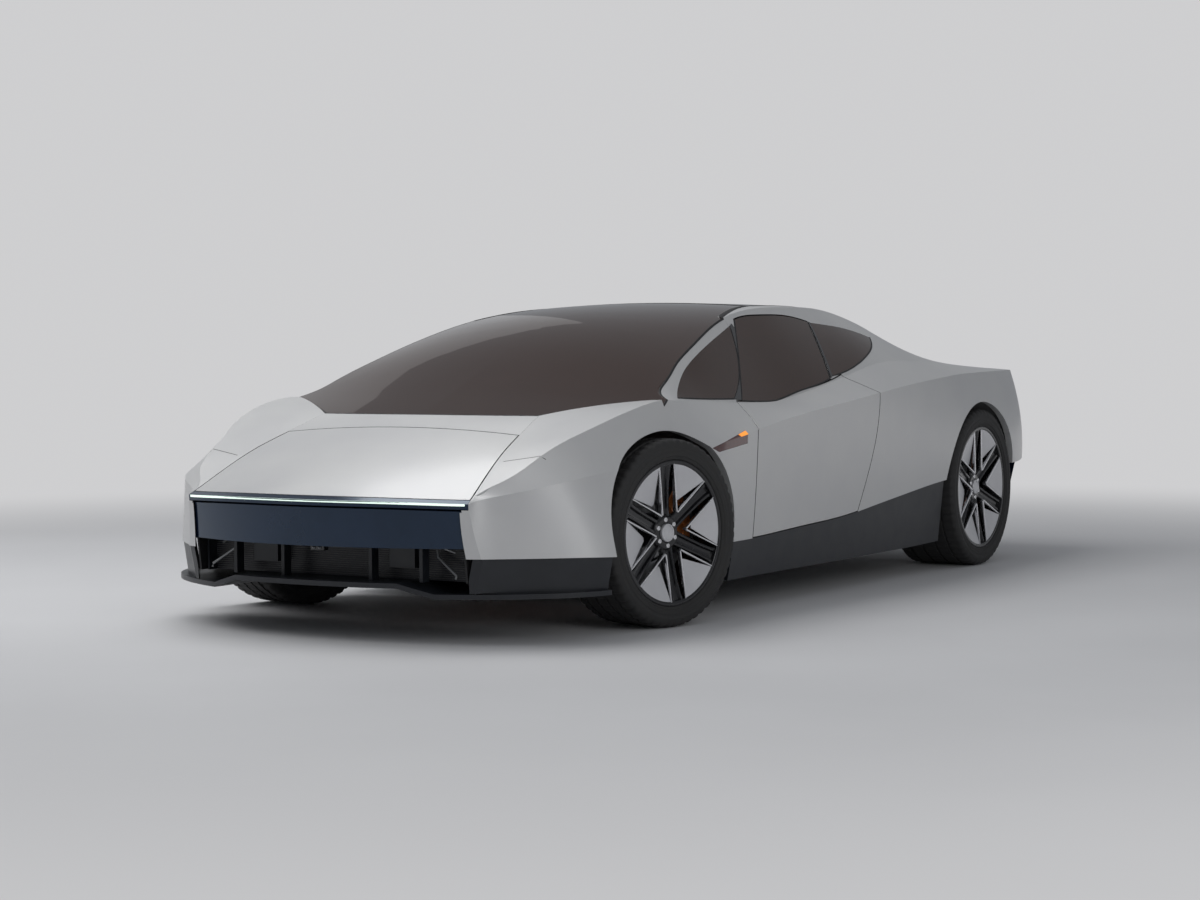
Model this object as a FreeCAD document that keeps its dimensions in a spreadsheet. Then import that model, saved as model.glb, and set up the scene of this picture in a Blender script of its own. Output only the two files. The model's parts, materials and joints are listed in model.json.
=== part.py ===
# Electric two-seat supercar with a creased wedge body, built as separate panels on a tub.
# Millimetres. Front toward -Y, the car's left side toward +X, up +Z.
# The origin lies on the ground at mid-length on the centre plane.

import FreeCAD, Part
import Sketcher
import math
import os
from types import SimpleNamespace

from FreeCAD import Placement, Rotation, Vector

# Overall sizes come first; what follows them in the text of a formula is their share.
SIZES = [
    ("body_length", 4720, "nose to tail on the centre plane"),
    ("body_half_width", 998, "centre plane to the rear haunch"),
    ("body_height", 1217, "ground to the roof"),
    ("front_overhang", "=body_length * 0.216737", "nose to front axle"),
    ("wheelbase", "=body_length * 0.604025", "front axle to rear axle"),
    ("nose_half_width", "=body_half_width * 0.627255", "centre plane to the nose corner"),
    ("nose_bow", 140, "how far the nose centre leads its corners"),
    ("nose_lean", 125, "how far the nose face leans back down to the ground"),
    ("tail_half_width", "=body_half_width * 0.801603", "centre plane to the tail corner"),
    ("tail_bow", 50, "how far the tail centre trails its corners"),
    ("tail_lean", 130, "how far the tail face tucks in down to the ground"),
    ("panel_thickness", 30, "outer panel with its inner skin"),
    ("door_thickness", 105, "whole door from skin to trim"),
    ("glass_thickness", 6, "laminated glass"),
    ("shut_gap", 5, "gap round a moving panel"),
    ("seam_gap", 0.6, "joint between fixed panels"),
    ("seat_gap", 0.3, "clearance of a piece on its seat"),
    ("lid_gap", 0.8, "clearance of a closed lid or door on its seat"),
    ("glass_rebate", 16, "width of the ledge that a pane lies on"),
    ("front_arch_half_length", "=body_height * 0.361545", "front wheel opening, half its length"),
    ("front_arch_height", "=body_height * 0.308135", "front wheel opening above the axle"),
    ("rear_arch_radius", "=body_height * 0.326212", "rear wheel opening"),
    ("liner_gap", 12, "arch edge to liner"),
    ("liner_thickness", 4, "wheel liner"),
    ("liner_inner_place", "=body_half_width * 0.501002", "centre plane to the liner's inner wall"),
    ("front_tyre_radius", "=body_height * 0.285949", "front tyre"),
    ("front_tyre_width", 265, "front tyre section"),
    ("front_rim_radius", "=body_height * 0.221035", "front rim flange"),
    ("front_wheel_face", "=body_half_width * 0.973948", "centre plane to the front tyre's outer face"),
    ("rear_tyre_radius", "=body_height * 0.298274", "rear tyre"),
    ("rear_tyre_width", 325, "rear tyre section"),
    ("rear_rim_radius", "=body_height * 0.231717", "rear rim flange"),
    ("rear_wheel_face", "=body_half_width * 0.986974", "centre plane to the rear tyre's outer face"),
    ("tyre_shoulder", 15, "tyre shoulder"),
    ("rim_set", 12, "tyre face to the rim's lip"),
    ("rim_wall", 18, "rim barrel with its lip"),
    ("star_recess", 46, "tyre face to the hub of the star"),
    ("star_tip_set", 16, "tyre face to the star's tips"),
    ("star_hub_radius", 62, "centre of the star"),
    ("star_thickness", 26, "depth of a spoke"),
    ("star_root_width", 64, "spoke width at the hub"),
    ("star_tip_width", 58, "spoke width at the rim"),
    ("star_spokes", 6, "spokes of the star"),
    ("blade_thickness", 6, "aero blades"),
    ("blade_slot", 84, "opening between two blades over a spoke"),
    ("blade_margin", 7, "rim's edge to the blades' outer band"),
    ("blade_band", 10, "outer band that carries the blades"),
    ("disc_radius", "=body_height * 0.156122", "brake disc"),
    ("disc_thickness", 28, "brake disc"),
    ("disc_set", 128, "tyre face to the brake disc"),
    ("stub_radius", 24, "stub axle"),
    ("hub_length", 112, "hub behind the star"),
    ("upright_place", 190, "tyre face to the middle of an upright"),
    ("caliper_inner", "=body_height * 0.102712", "brake caliper"),
    ("caliper_outer", "=body_height * 0.182416", "brake caliper"),
    ("caliper_width", 70, "brake caliper"),
    ("caliper_arc", 75, "brake caliper, degrees"),
    ("caliper_start", -20, "brake caliper, degrees over the level"),
    ("disc_clearance", 6, "brake disc to the caliper's bridge"),
    ("arm_notch", 70, "steering pin to the fork of an arm"),
    ("pin_radius", 14, "steering pin"),
    ("parked_steer", 12.5, "front wheels turned toward the car's right, degrees"),
    ("parked_spin", 7, "how far a spoke stands ahead of upright, degrees"),
    ("knuckle_width", 70, "upright along the car"),
    ("knuckle_thickness", 40, "upright across the car"),
    ("knuckle_reach", "=body_height * 0.096960", "steering pin above and below the axle"),
    ("arm_width", 34, "suspension arm"),
    ("arm_thickness", 20, "suspension arm"),
    ("arm_spread", 140, "half the distance between an arm's inner ends"),
    ("rail_place", "=body_half_width * 0.400802", "centre plane to the chassis rail's outer side"),
    ("rail_width", 90, "chassis rail"),
    ("rail_height", 120, "chassis rail"),
    ("floor_bottom", "=body_height * 0.096960", "ground to the floor"),
    ("floor_thickness", 110, "floor with the cells in it"),
    ("floor_half_width", "=body_half_width * 0.801603", "centre plane to the sill"),
    ("sill_height", "=body_height * 0.271159", "ground to the top of the sill"),
    ("skirt_top", "=body_height * 0.328677", "ground to where the tub's walls widen over the skirts"),
    ("firewall_place", "=body_length * 0.182203", "firewall ahead of mid-length"),
    ("bulkhead_place", "=body_length * 0.190678", "rear bulkhead behind mid-length"),
    ("wall_thickness", 40, "firewall and bulkhead"),
    ("firewall_height", "=body_height * 0.575185", "ground to the top of the firewall"),
    ("bulkhead_height", "=body_height * 0.657354", "ground to the top of the bulkhead"),
    ("rail_front_reach", "=body_length * 0.228814", "front rails ahead of the firewall"),
    ("rail_rear_reach", "=body_length * 0.237288", "rear rails behind the bulkhead"),
    ("light_height", 20, "height of a light bar"),
    ("light_depth", 26, "depth of a light bar"),
    ("light_top", "=body_height * 0.409203", "ground to the top of the front light bar at the corner"),
    ("mouth_top", "=body_height * 0.277732", "ground to the lower edge of the front panel"),
    ("mouth_half_width", "=body_half_width * 0.607214", "centre plane to the side of the front opening"),
    ("splitter_thickness", 18, "front splitter blade"),
    ("splitter_low", "=body_height * 0.131471", "ground to the splitter's outer part"),
    ("splitter_rise", 36, "how far its middle stands higher"),
    ("splitter_middle", "=body_half_width * 0.360721", "half width of the raised middle"),
    ("splitter_ramp", 130, "length across of its ramp"),
    ("lid_panel", 22, "hood and rear lid thickness"),
    ("trunk_wall", 8, "luggage tub wall"),
    ("trunk_bottom", "=body_height * 0.246508", "ground to the luggage tub"),
    ("trunk_front", "=body_length * 0.432203", "luggage tub ahead of mid-length"),
    ("trunk_rear", "=body_length * 0.379237", "its rear wall ahead of mid-length"),
    ("arch_forward", 22, "front wheel opening ahead of the axle"),
    ("ledge_width", 24, "ledge under a lid's edge"),
    ("door_step", 32, "shutline to the door's inner box"),
    ("overlap", 2, "how far joined forms run into each other"),
    ("marker_depth", 10, "side marker lamp"),
    ("panel_set", 8, "front and tail panels behind the body's edge"),
    ("light_gap", 12, "front light bar to the panel under it"),
    ("wall_set", 6, "dark lower walls behind the painted side"),
    ("intake_set", 150, "nose to the mouth's struts"),
    ("intake_depth", 90, "depth of the duct ahead of the core"),
    ("core_depth", 40, "heat exchanger"),
    ("beam_height", 24, "beam over the mouth"),
    ("strut_width", 14, "upright in the mouth"),
    ("strut_depth", 40, "upright in the mouth"),
    ("module_width", 110, "boxes beside the duct"),
    ("module_lift", 45, "floor of the duct to the boxes"),
    ("tunnel_half_width", 95, "tunnel between the seats"),
    ("tunnel_height", "=body_height * 0.345111", "ground to the tunnel's top"),
    ("post_place", "=body_length * 0.091102", "door post behind mid-length"),
    ("post_width", 90, "door post"),
    ("rear_rail_low", "=body_height * 0.176664", "ground to the rear rails"),
    ("tower_length", 330, "suspension tower along the rail"),
    ("tower_height", 300, "suspension tower"),
    ("liner_window", 230, "opening for the arms in a liner's inner wall"),
    ("liner_drop", 120, "how far a liner reaches below the axle"),
    ("tail_bottom", "=body_height * 0.262942", "ground to the tail panel"),
    ("tail_light_half", "=body_half_width * 0.741483", "centre plane to the end of the tail light"),
    ("tail_light_low", "=body_height * 0.632703", "ground to the tail light"),
    ("diffuser_rise", 30, "front of the diffuser over the floor"),
    ("diffuser_plate", 10, "diffuser plate"),
    ("diffuser_half_width", "=body_half_width * 0.641283", "diffuser"),
    ("fin_depth", 90, "diffuser fin at the tail"),
    ("fin_count", 6, "diffuser fins"),
    ("fin_spread", "=body_half_width * 0.521042", "centre plane to the outer fin"),
    ("fin_thickness", 8, "diffuser fin"),
    ("drive_length", "=body_length * 0.110169", "drive unit along the car"),
    ("drive_height", "=body_height * 0.246508", "drive unit"),
    ("seat_place", "=body_half_width * 0.370741", "centre plane to the middle of a seat"),
    ("seat_width", 480, "seat"),
    ("seat_length", "=body_length * 0.186441", "seat with its back, along the car"),
    ("seat_height", "=body_height * 0.640920", "seat with its headrest"),
    ("seat_front", "=body_length * -0.048729", "front edge of the seat"),
    ("dash_bottom", "=body_height * 0.353328", "ground to the dashboard"),
    ("dash_height", "=body_height * 0.221857", "dashboard"),
    ("dash_depth", 380, "dashboard"),
    ("dash_half_width", "=body_half_width * 0.701403", "dashboard"),
    ("steering_radius", 170, "steering wheel"),
    ("steering_grip", 14, "half the rim's thickness"),
    ("column_length", 190, "column behind the wheel"),
    ("column_angle", -62, "tilt of the steering wheel, degrees"),
    ("overrun", 60, "how far a cutting solid passes its target"),
]

# Guide lines of the body side, one row for each station along the length.
# Station as a share of the length, then five points as shares of half width and height:
# sill foot, lower edge, flank bulge (a pole), side crease, belt, and top of the side.
side_shares = [
    (-0.520, (0.380, 0.136), (0.415, 0.249), (0.412, 0.304), (0.410, 0.362), (0.350, 0.394), (0.300, 0.493)),
    (-0.470, (0.600, 0.136), (0.630, 0.249), (0.630, 0.329), (0.626, 0.408), (0.546, 0.450), (0.450, 0.534)),
    (-0.440, (0.740, 0.136), (0.768, 0.247), (0.767, 0.341), (0.761, 0.440), (0.654, 0.493), (0.560, 0.575)),
    (-0.415, (0.860, 0.136), (0.885, 0.246), (0.872, 0.353), (0.850, 0.462), (0.689, 0.555), (0.600, 0.641)),
    (-0.385, (0.940, 0.136), (0.965, 0.242), (0.935, 0.362), (0.893, 0.478), (0.755, 0.603), (0.660, 0.690)),
    (-0.360, (0.955, 0.123), (0.984, 0.238), (0.955, 0.366), (0.912, 0.487), (0.805, 0.643), (0.700, 0.723)),
    (-0.330, (0.955, 0.107), (0.988, 0.238), (0.972, 0.374), (0.930, 0.499), (0.845, 0.671), (0.740, 0.756)),
    (-0.295, (0.955, 0.107), (0.988, 0.238), (0.985, 0.382), (0.945, 0.512), (0.864, 0.694), (0.740, 0.756)),
    (-0.265, (0.955, 0.107), (0.986, 0.237), (0.985, 0.386), (0.958, 0.524), (0.862, 0.685), (0.715, 0.735)),
    (-0.235, (0.950, 0.107), (0.980, 0.234), (0.984, 0.390), (0.968, 0.538), (0.850, 0.680), (0.720, 0.785)),
    (-0.200, (0.940, 0.107), (0.968, 0.233), (0.978, 0.394), (0.975, 0.555), (0.845, 0.675), (0.690, 0.838)),
    (-0.155, (0.930, 0.107), (0.955, 0.233), (0.975, 0.407), (0.982, 0.582), (0.843, 0.668), (0.610, 0.949)),
    (-0.065, (0.930, 0.107), (0.952, 0.246), (0.980, 0.436), (0.989, 0.627), (0.840, 0.667), (0.565, 0.994)),
    (0.020, (0.930, 0.107), (0.952, 0.260), (0.985, 0.460), (0.989, 0.657), (0.832, 0.705), (0.555, 1.003)),
    (0.085, (0.930, 0.107), (0.953, 0.284), (0.988, 0.481), (0.982, 0.680), (0.820, 0.740), (0.540, 0.998)),
    (0.150, (0.930, 0.107), (0.956, 0.309), (0.992, 0.505), (0.974, 0.701), (0.808, 0.777), (0.530, 0.978)),
    (0.210, (0.935, 0.111), (0.965, 0.333), (1.005, 0.530), (0.966, 0.717), (0.800, 0.787), (0.500, 0.961)),
    (0.275, (0.950, 0.123), (0.978, 0.353), (1.022, 0.555), (0.952, 0.731), (0.790, 0.777), (0.480, 0.904)),
    (0.340, (0.950, 0.148), (0.984, 0.370), (1.030, 0.567), (0.935, 0.736), (0.780, 0.764), (0.470, 0.822)),
    (0.415, (0.930, 0.197), (0.970, 0.378), (1.000, 0.567), (0.900, 0.739), (0.760, 0.752), (0.470, 0.777)),
    (0.490, (0.820, 0.247), (0.860, 0.386), (0.870, 0.567), (0.800, 0.737), (0.700, 0.744), (0.470, 0.748)),
    (0.520, (0.780, 0.263), (0.800, 0.386), (0.800, 0.567), (0.740, 0.736), (0.660, 0.742), (0.470, 0.744)),
]

# Guide lines of the hood and fender tops: station, centre height, hood seam place and height,
# and the height far outside.
hood_shares = [
    (-0.520, 0.374, 0.660, 0.316, 0.329),
    (-0.500, 0.413, 0.645, 0.353, 0.370),
    (-0.470, 0.467, 0.622, 0.408, 0.427),
    (-0.420, 0.540, 0.575, 0.510, 0.533),
    (-0.370, 0.606, 0.527, 0.587, 0.618),
    (-0.335, 0.647, 0.495, 0.635, 0.652),
    (-0.295, 0.682, 0.460, 0.670, 0.682),
    (-0.260, 0.698, 0.450, 0.684, 0.690),
    (-0.235, 0.698, 0.450, 0.690, 0.690),
]

# Guide lines of the windshield, roof, rear window and deck: station, centre height,
# and how far the surface falls at the half width.
glass_shares = [
    (-0.360, 0.612, 0.058),
    (-0.335, 0.648, 0.062),
    (-0.300, 0.701, 0.082),
    (-0.270, 0.749, 0.096),
    (-0.210, 0.846, 0.120),
    (-0.140, 0.933, 0.136),
    (-0.070, 0.978, 0.099),
    (0.000, 0.997, 0.066),
    (0.065, 1.000, 0.058),
    (0.125, 0.997, 0.058),
    (0.170, 0.983, 0.058),
    (0.215, 0.953, 0.058),
    (0.270, 0.904, 0.058),
    (0.305, 0.867, 0.049),
    (0.340, 0.830, 0.041),
    (0.380, 0.793, 0.033),
    (0.430, 0.763, 0.017),
    (0.490, 0.744, 0.007),
    (0.520, 0.740, 0.003),
]

# Outlines seen from the side: station along the length and height, as shares.
# Each stretch is a line with two points or a smooth curve with more.
door_shares = [
    [(-0.1565, 0.150), (-0.1563, 0.575)],
    [(-0.1563, 0.575), (-0.1377, 0.667)],
    [(-0.1377, 0.667), (-0.100, 0.662), (-0.065, 0.664), (-0.021, 0.688), (0.020, 0.707), (0.0742, 0.740)],
    [(0.0742, 0.740), (0.0805, 0.677)],
    [(0.0805, 0.677), (0.0686, 0.479), (0.0453, 0.265), (0.036, 0.150)],
    [(0.036, 0.150), (-0.1565, 0.150)],
]
door_glass_shares = [
    [(-0.1282, 0.669), (-0.0803, 0.833), (-0.053, 0.934)],
    [(-0.053, 0.934), (-0.026, 0.947), (0.0017, 0.950), (0.042, 0.950), (0.0911, 0.9285)],
    [(0.0911, 0.9285), (0.0498, 0.730)],
    [(0.0498, 0.730), (0.020, 0.710), (-0.021, 0.690), (-0.065, 0.666), (-0.100, 0.664), (-0.1282, 0.669)],
]
front_quarter_shares = [
    [(-0.2394, 0.688), (-0.2044, 0.756), (-0.1377, 0.844), (-0.068, 0.914)],
    [(-0.068, 0.914), (-0.0894, 0.805), (-0.140, 0.676)],
    [(-0.140, 0.676), (-0.190, 0.680), (-0.2394, 0.688)],
]
rear_quarter_shares = [
    [(0.0945, 0.926), (0.135, 0.916), (0.190, 0.889), (0.2076, 0.872)],
    [(0.2076, 0.872), (0.180, 0.836), (0.148, 0.804), (0.106, 0.766), (0.0565, 0.738)],
    [(0.0565, 0.738), (0.0945, 0.926)],
]

# Height at which the tail reaches furthest back, as a share of the body's height.
tail_height_share = 0.744

# Where the cutting prisms of the side views start, as a share of the half width.
side_floor_share = 0.2

# Outlines seen from above, left half: place across and station along, as shares.
hood_seam_shares = [(0.640, -0.500), (0.622, -0.470), (0.575, -0.420), (0.527, -0.370), (0.494, -0.331)]
hood_rear_share = -0.370
screen_base_share = -0.341
screen_corner_shares = (0.494, -0.331)
pillar_foot_shares = (0.822, -0.2742)
pillar_top_share = -0.0712
header_share = 0.022
roof_rear_share = 0.190
lid_front_share = 0.272
lid_rear_share = 0.478
roof_rail_shares = [(0.610, -0.073), (0.545, -0.021), (0.500, 0.021), (0.475, 0.106), (0.460, 0.201),
                    (0.450, 0.275)]
marker_shares = [
    [(-0.2310, 0.5330), (-0.1745, 0.5790)],
    [(-0.1745, 0.5790), (-0.1745, 0.5400)],
    [(-0.1745, 0.5400), (-0.2210, 0.5200)],
    [(-0.2210, 0.5200), (-0.2310, 0.5330)],
]
splitter_edge_shares = [(0.000, -0.4915), (0.330, -0.4850), (0.670, -0.4560), (0.840, -0.4280),
                        (0.955, -0.3850)]
strut_shares = [-0.72, -0.34, 0.34, 0.72]
module_shares = [-0.53, 0.53]
seat_profile_shares = [(0.00, 0.00), (0.02, 0.17), (0.12, 0.22), (0.50, 0.14), (0.60, 0.18), (0.88, 0.96),
                       (0.94, 1.00), (1.00, 0.97), (0.76, 0.12), (0.66, 0.00)]
dash_profile_shares = [(0.0, 0.0), (0.0, 0.80), (0.25, 1.0), (0.70, 0.95), (0.88, 0.868), (1.0, 0.55),
                       (0.92, 0.40), (0.35, 0.0)]
deck_seam_shares = [(0.450, 0.275), (0.462, 0.380), (0.480, 0.478), (0.490, 0.530)]


doc = FreeCAD.newDocument("supercar")
sheet = doc.addObject("Spreadsheet::Sheet", "sizes")
for row, (alias, value, note) in enumerate(SIZES, start=1):
    sheet.set("A" + str(row), note)
    sheet.set("B" + str(row), str(value))
    sheet.setAlias("B" + str(row), alias)
doc.recompute()
S = SimpleNamespace(**{alias: float(sheet.get(alias)) for alias, value, note in SIZES})

front_axle = S.front_overhang - S.body_length / 2
rear_axle = front_axle + S.wheelbase
arch_place = front_axle - S.arch_forward
front_rail_low = S.splitter_low + S.splitter_rise + S.splitter_thickness + S.seat_gap
ceiling = S.body_height + 3 * S.overrun
reach = S.body_half_width + 2 * S.overrun
pieces = []


def across(share):
    return share * S.body_half_width


def along(share):
    return share * S.body_length


def up(share):
    return share * S.body_height


def add_piece(label, shape):
    """Puts a finished shape into the document as a sub-part of its own."""
    piece = doc.addObject("Part::Feature", label)
    piece.Label = label
    piece.Shape = shape
    pieces.append(piece)
    return piece


def mirrored(shape):
    """The same shape on the other side of the centre plane."""
    return shape.mirror(Vector(0, 0, 0), Vector(1, 0, 0))


def box(x_range, y_range, z_range):
    low = Vector(x_range[0], y_range[0], z_range[0])
    return Part.makeBox(x_range[1] - x_range[0], y_range[1] - y_range[0], z_range[1] - z_range[0], low)


def offset_outline(points, depth):
    """Moves an open outline inward by depth, keeping its corners mitred."""
    normals = []
    for (x_a, z_a), (x_b, z_b) in zip(points, points[1:]):
        run = math.hypot(x_b - x_a, z_b - z_a)
        normals.append((-(z_b - z_a) / run, (x_b - x_a) / run))
    normals = [normals[0]] + normals + [normals[-1]]
    moved = []
    for (x, z), before, after in zip(points, normals, normals[1:]):
        scale = depth / (1 + before[0] * after[0] + before[1] * after[1])
        moved.append((x + scale * (before[0] + after[0]), z + scale * (before[1] + after[1])))
    return moved


def side_outline(row, depth):
    """Section of the left body side at one station, moved inward by depth."""
    points = [(across(x), up(z)) for x, z in row[1:]]
    points.append((points[-1][0], ceiling))
    return [Vector(x, along(row[0]), z) for x, z in offset_outline(points, depth)]


def side_edges(points):
    """Edges of a body side section from the sill foot up: the flank is a smooth curve."""
    foot, edge, bulge, crease, belt, top, above = points
    flank = Part.BezierCurve()
    flank.setPoles([edge, bulge, crease])
    lines = [(crease, belt), (belt, top), (top, above)]
    return [Part.makeLine(foot, edge), flank.toShape()] + [Part.makeLine(a, b) for a, b in lines]


def side_skin(outer, inner):
    """Layer of the left body side between two depths under its surface."""
    sections = []
    for row in side_shares:
        outside = side_outline(row, outer)
        inside = side_outline(row, inner)
        edges = side_edges(outside)
        edges.append(Part.makeLine(outside[-1], inside[-1]))
        edges += reversed(side_edges(inside))
        edges.append(Part.makeLine(inside[0], outside[0]))
        sections.append(Part.Wire(Part.__sortEdges__(edges)))
    return Part.makeLoft(sections, True, False)


def side_solid(depth):
    """Everything between the centre plane and the left body side at a depth."""
    sections = []
    for row in side_shares:
        outside = side_outline(row, depth)
        high = Vector(-S.overrun, outside[-1].y, outside[-1].z)
        low = Vector(-S.overrun, outside[0].y, outside[0].z)
        edges = side_edges(outside)
        edges += [Part.makeLine(outside[-1], high), Part.makeLine(high, low), Part.makeLine(low, outside[0])]
        sections.append(Part.Wire(edges))
    return Part.makeLoft(sections, True, False)


def body_solid(depth):
    """Everything between both body sides at a depth."""
    sections = []
    for row in side_shares:
        left = side_outline(row, depth)
        right = [Vector(-p.x, p.y, p.z) for p in left]
        edges = side_edges(left) + [Part.makeLine(left[-1], right[-1])]
        edges += list(reversed(side_edges(right))) + [Part.makeLine(right[0], left[0])]
        sections.append(Part.Wire(Part.__sortEdges__(edges)))
    return Part.makeLoft(sections, True, False)


def hood_section(row, depth):
    station, centre, seam, seam_height, outer_height = row
    y = along(station)
    outer = Vector(-reach, y, up(outer_height) - depth)
    left = Vector(-across(seam), y, up(seam_height) - depth)
    middle = Vector(0, y, up(centre) - depth)
    right = Vector(-left.x, y, left.z)
    far = Vector(reach, y, outer.z)
    return [Part.makeLine(outer, left), Part.Arc(left, middle, right).toShape(), Part.makeLine(right, far)]


def glass_section(row, depth):
    station, centre, fall = row
    y = along(station)
    edge = up(centre - fall * (reach / S.body_half_width) ** 2) - depth
    ends = [Vector(-reach, y, edge), Vector(reach, y, edge)]
    return [Part.Arc(ends[0], Vector(0, y, up(centre) - depth), ends[1]).toShape()]


def closed_section(top_edges, bottom_edges):
    """Joins the ends of an upper and a lower outline into one closed wire."""
    left = [edges[0].firstVertex(True).Point for edges in (top_edges, bottom_edges)]
    right = [edges[-1].lastVertex(True).Point for edges in (top_edges, bottom_edges)]
    edges = top_edges + [Part.makeLine(right[0], right[1])]
    edges += bottom_edges + [Part.makeLine(left[1], left[0])]
    return Part.Wire(Part.__sortEdges__(edges))


def layer(section, rows, outer, inner):
    """Layer of the hood or of the glass surface between two depths."""
    sections = [closed_section(section(row, outer), section(row, inner)) for row in rows]
    return Part.makeLoft(sections, True, False)


def below(section, rows, depth):
    """Everything under the hood or the glass surface at a depth."""
    sections = []
    for row in rows:
        y = along(row[0])
        base = [Part.makeLine(Vector(-reach, y, 0), Vector(reach, y, 0))]
        sections.append(closed_section(section(row, depth), base))
    return Part.makeLoft(sections, True, False)


def hood_layer(outer, inner):
    return layer(hood_section, hood_shares, outer, inner)


def glass_layer(outer, inner):
    return layer(glass_section, glass_shares, outer, inner)


def under_hood(depth):
    return below(hood_section, hood_shares, depth)


def under_glass(depth):
    return below(glass_section, glass_shares, depth)


def bow_at(place, half_width, bow):
    """How far a bowed end has come back at a place across."""
    radius = (half_width ** 2 + bow ** 2) / (2 * bow)
    return radius - math.sqrt(radius ** 2 - place ** 2)


def nose_solid(depth):
    """Everything behind the bowed, leaning nose face, moved back by depth."""
    nose = -S.body_length / 2 + depth
    corner = nose + bow_at(reach, S.nose_half_width, S.nose_bow)
    lean = Vector(0, -S.nose_lean * ceiling / S.body_height, ceiling)
    foot = S.nose_lean * S.light_top / S.body_height
    far = S.body_length / 2
    points = [Vector(-reach, corner + foot, 0), Vector(0, nose + foot, 0), Vector(reach, corner + foot, 0)]
    back = [Vector(reach, far, 0), Vector(-reach, far, 0)]
    edges = [Part.Arc(*points).toShape(), Part.makeLine(points[2], back[0])]
    edges += [Part.makeLine(back[0], back[1]), Part.makeLine(back[1], points[0])]
    return Part.Face(Part.Wire(edges)).extrude(lean)


def tail_at(height):
    """Station of the leaning tail face on the centre plane at a height."""
    return S.body_length / 2 - S.tail_lean * (tail_height_share - height / S.body_height)


def tail_solid(depth):
    """Everything ahead of the bowed tail face, moved forward by depth."""
    tail = S.body_length / 2 - depth
    corner = tail - bow_at(reach, S.tail_half_width, S.tail_bow)
    foot = S.tail_lean * tail_height_share
    lean = Vector(0, S.tail_lean * ceiling / S.body_height, ceiling)
    points = [Vector(-reach, corner - foot, 0), Vector(0, tail - foot, 0), Vector(reach, corner - foot, 0)]
    front = [Vector(reach, -S.body_length / 2, 0), Vector(-reach, -S.body_length / 2, 0)]
    edges = [Part.Arc(*points).toShape(), Part.makeLine(points[2], front[0])]
    edges += [Part.makeLine(front[0], front[1]), Part.makeLine(front[1], points[0])]
    return Part.Face(Part.Wire(edges)).extrude(lean)


def outline_wire(stretches, to_point):
    """Closed wire from stretches of points: two points make a line, more a smooth curve."""
    edges = []
    for stretch in stretches:
        points = [to_point(*pair) for pair in stretch]
        if len(points) == 2:
            edges.append(Part.makeLine(points[0], points[1]))
        else:
            curve = Part.BSplineCurve()
            curve.interpolate(points)
            edges.append(curve.toShape())
    return Part.Wire(edges)


def side_face(stretches, grow=0):
    """Face of an outline seen from the side, grown by a margin."""
    face = Part.Face(outline_wire(stretches, lambda station, height: Vector(0, along(station), up(height))))
    if grow:
        face = face.makeOffset2D(grow)
    return face


def side_prism(stretches, grow=0):
    """Left-side prism of an outline seen from the side."""
    prism = side_face(stretches, grow).extrude(Vector(reach, 0, 0))
    prism.translate(Vector(across(side_floor_share), 0, 0))
    return prism.toNurbs()


def plan_prism(points):
    """Upright prism of a closed polygon seen from above, its points in millimetres."""
    wire = Part.makePolygon([Vector(x, y, 0) for x, y in points + points[:1]])
    return Part.Face(wire).extrude(Vector(0, 0, ceiling))


def both_sides(points):
    """Closes a left-half plan outline over the centre plane."""
    return points + [(-x, y) for x, y in reversed(points)]


def lower_edge_prism(gap, is_above):
    """Prism above or below the lower edge of the painted body side."""
    points = [Vector(0, along(row[0]), up(row[2][1]) + gap) for row in side_shares]
    curve = Part.BSplineCurve()
    curve.interpolate(points)
    level = ceiling if is_above else 0
    corners = [points[-1], Vector(0, points[-1].y, level), Vector(0, points[0].y, level), points[0]]
    edges = [curve.toShape()] + [Part.makeLine(a, b) for a, b in zip(corners, corners[1:])]
    prism = Part.Face(Part.Wire(edges)).extrude(Vector(reach, 0, 0))
    prism.translate(Vector(across(side_floor_share), 0, 0))
    return prism


def y_slab(y_low, y_high):
    """Slab across the car between two stations."""
    return box((-reach, reach), (y_low, y_high), (0, ceiling))


def arch_cut(centre_y, centre_z, half_length, height):
    """Wheel opening through the body side: half an ellipse over a gap down to the ground."""
    centre = Vector(0, centre_y, centre_z)
    side = Vector(0, centre_y + half_length, centre_z)
    top = Vector(0, centre_y, centre_z + height)
    if height < half_length:
        curve = Part.Ellipse(side, top, centre)
    else:
        curve = Part.Circle(centre, Vector(1, 0, 0), half_length)
    prism = Part.Face(Part.Wire(curve.toShape())).extrude(Vector(2 * reach, 0, 0))
    return prism.fuse(box((0, 2 * reach), (centre_y - half_length, centre_y + half_length), (0, centre_z)))


def common(shape, *others):
    for other in others:
        shape = shape.common(other)
    return shape


def cut(shape, *others):
    for other in others:
        shape = shape.cut(other)
    return shape


def single(shape):
    """The largest solid of a result, without the splinters that a trim leaves."""
    return max(shape.Solids, key=lambda solid: solid.Volume)


def plan_line(shares, shift):
    """Points of a seam seen from above, moved across by shift."""
    return [(across(x) + shift, along(y)) for x, y in shares]


front_arch = arch_cut(arch_place, S.front_tyre_radius, S.front_arch_half_length, S.front_arch_height)
rear_arch = arch_cut(rear_axle, S.rear_tyre_radius, S.rear_arch_radius, S.rear_arch_radius)
far_front = -S.body_length
far_rear = S.body_length
left_skin = side_skin(0, S.panel_thickness)
left_half = side_solid(0)
painted = lower_edge_prism(0, True)
door_room = side_prism(door_shares, S.shut_gap)
door_glass_room = side_prism(door_glass_shares, S.shut_gap)
foot_x = across(pillar_foot_shares[0])
foot_y = along(pillar_foot_shares[1])
screen_x = across(screen_corner_shares[0])
screen_y = along(screen_corner_shares[1])
hood_rear_y = along(hood_rear_share)
header_y = along(header_share)
lid_front_y = along(lid_front_share)
lid_rear_y = along(lid_rear_share)
pillar_top_y = along(pillar_top_share)


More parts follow.
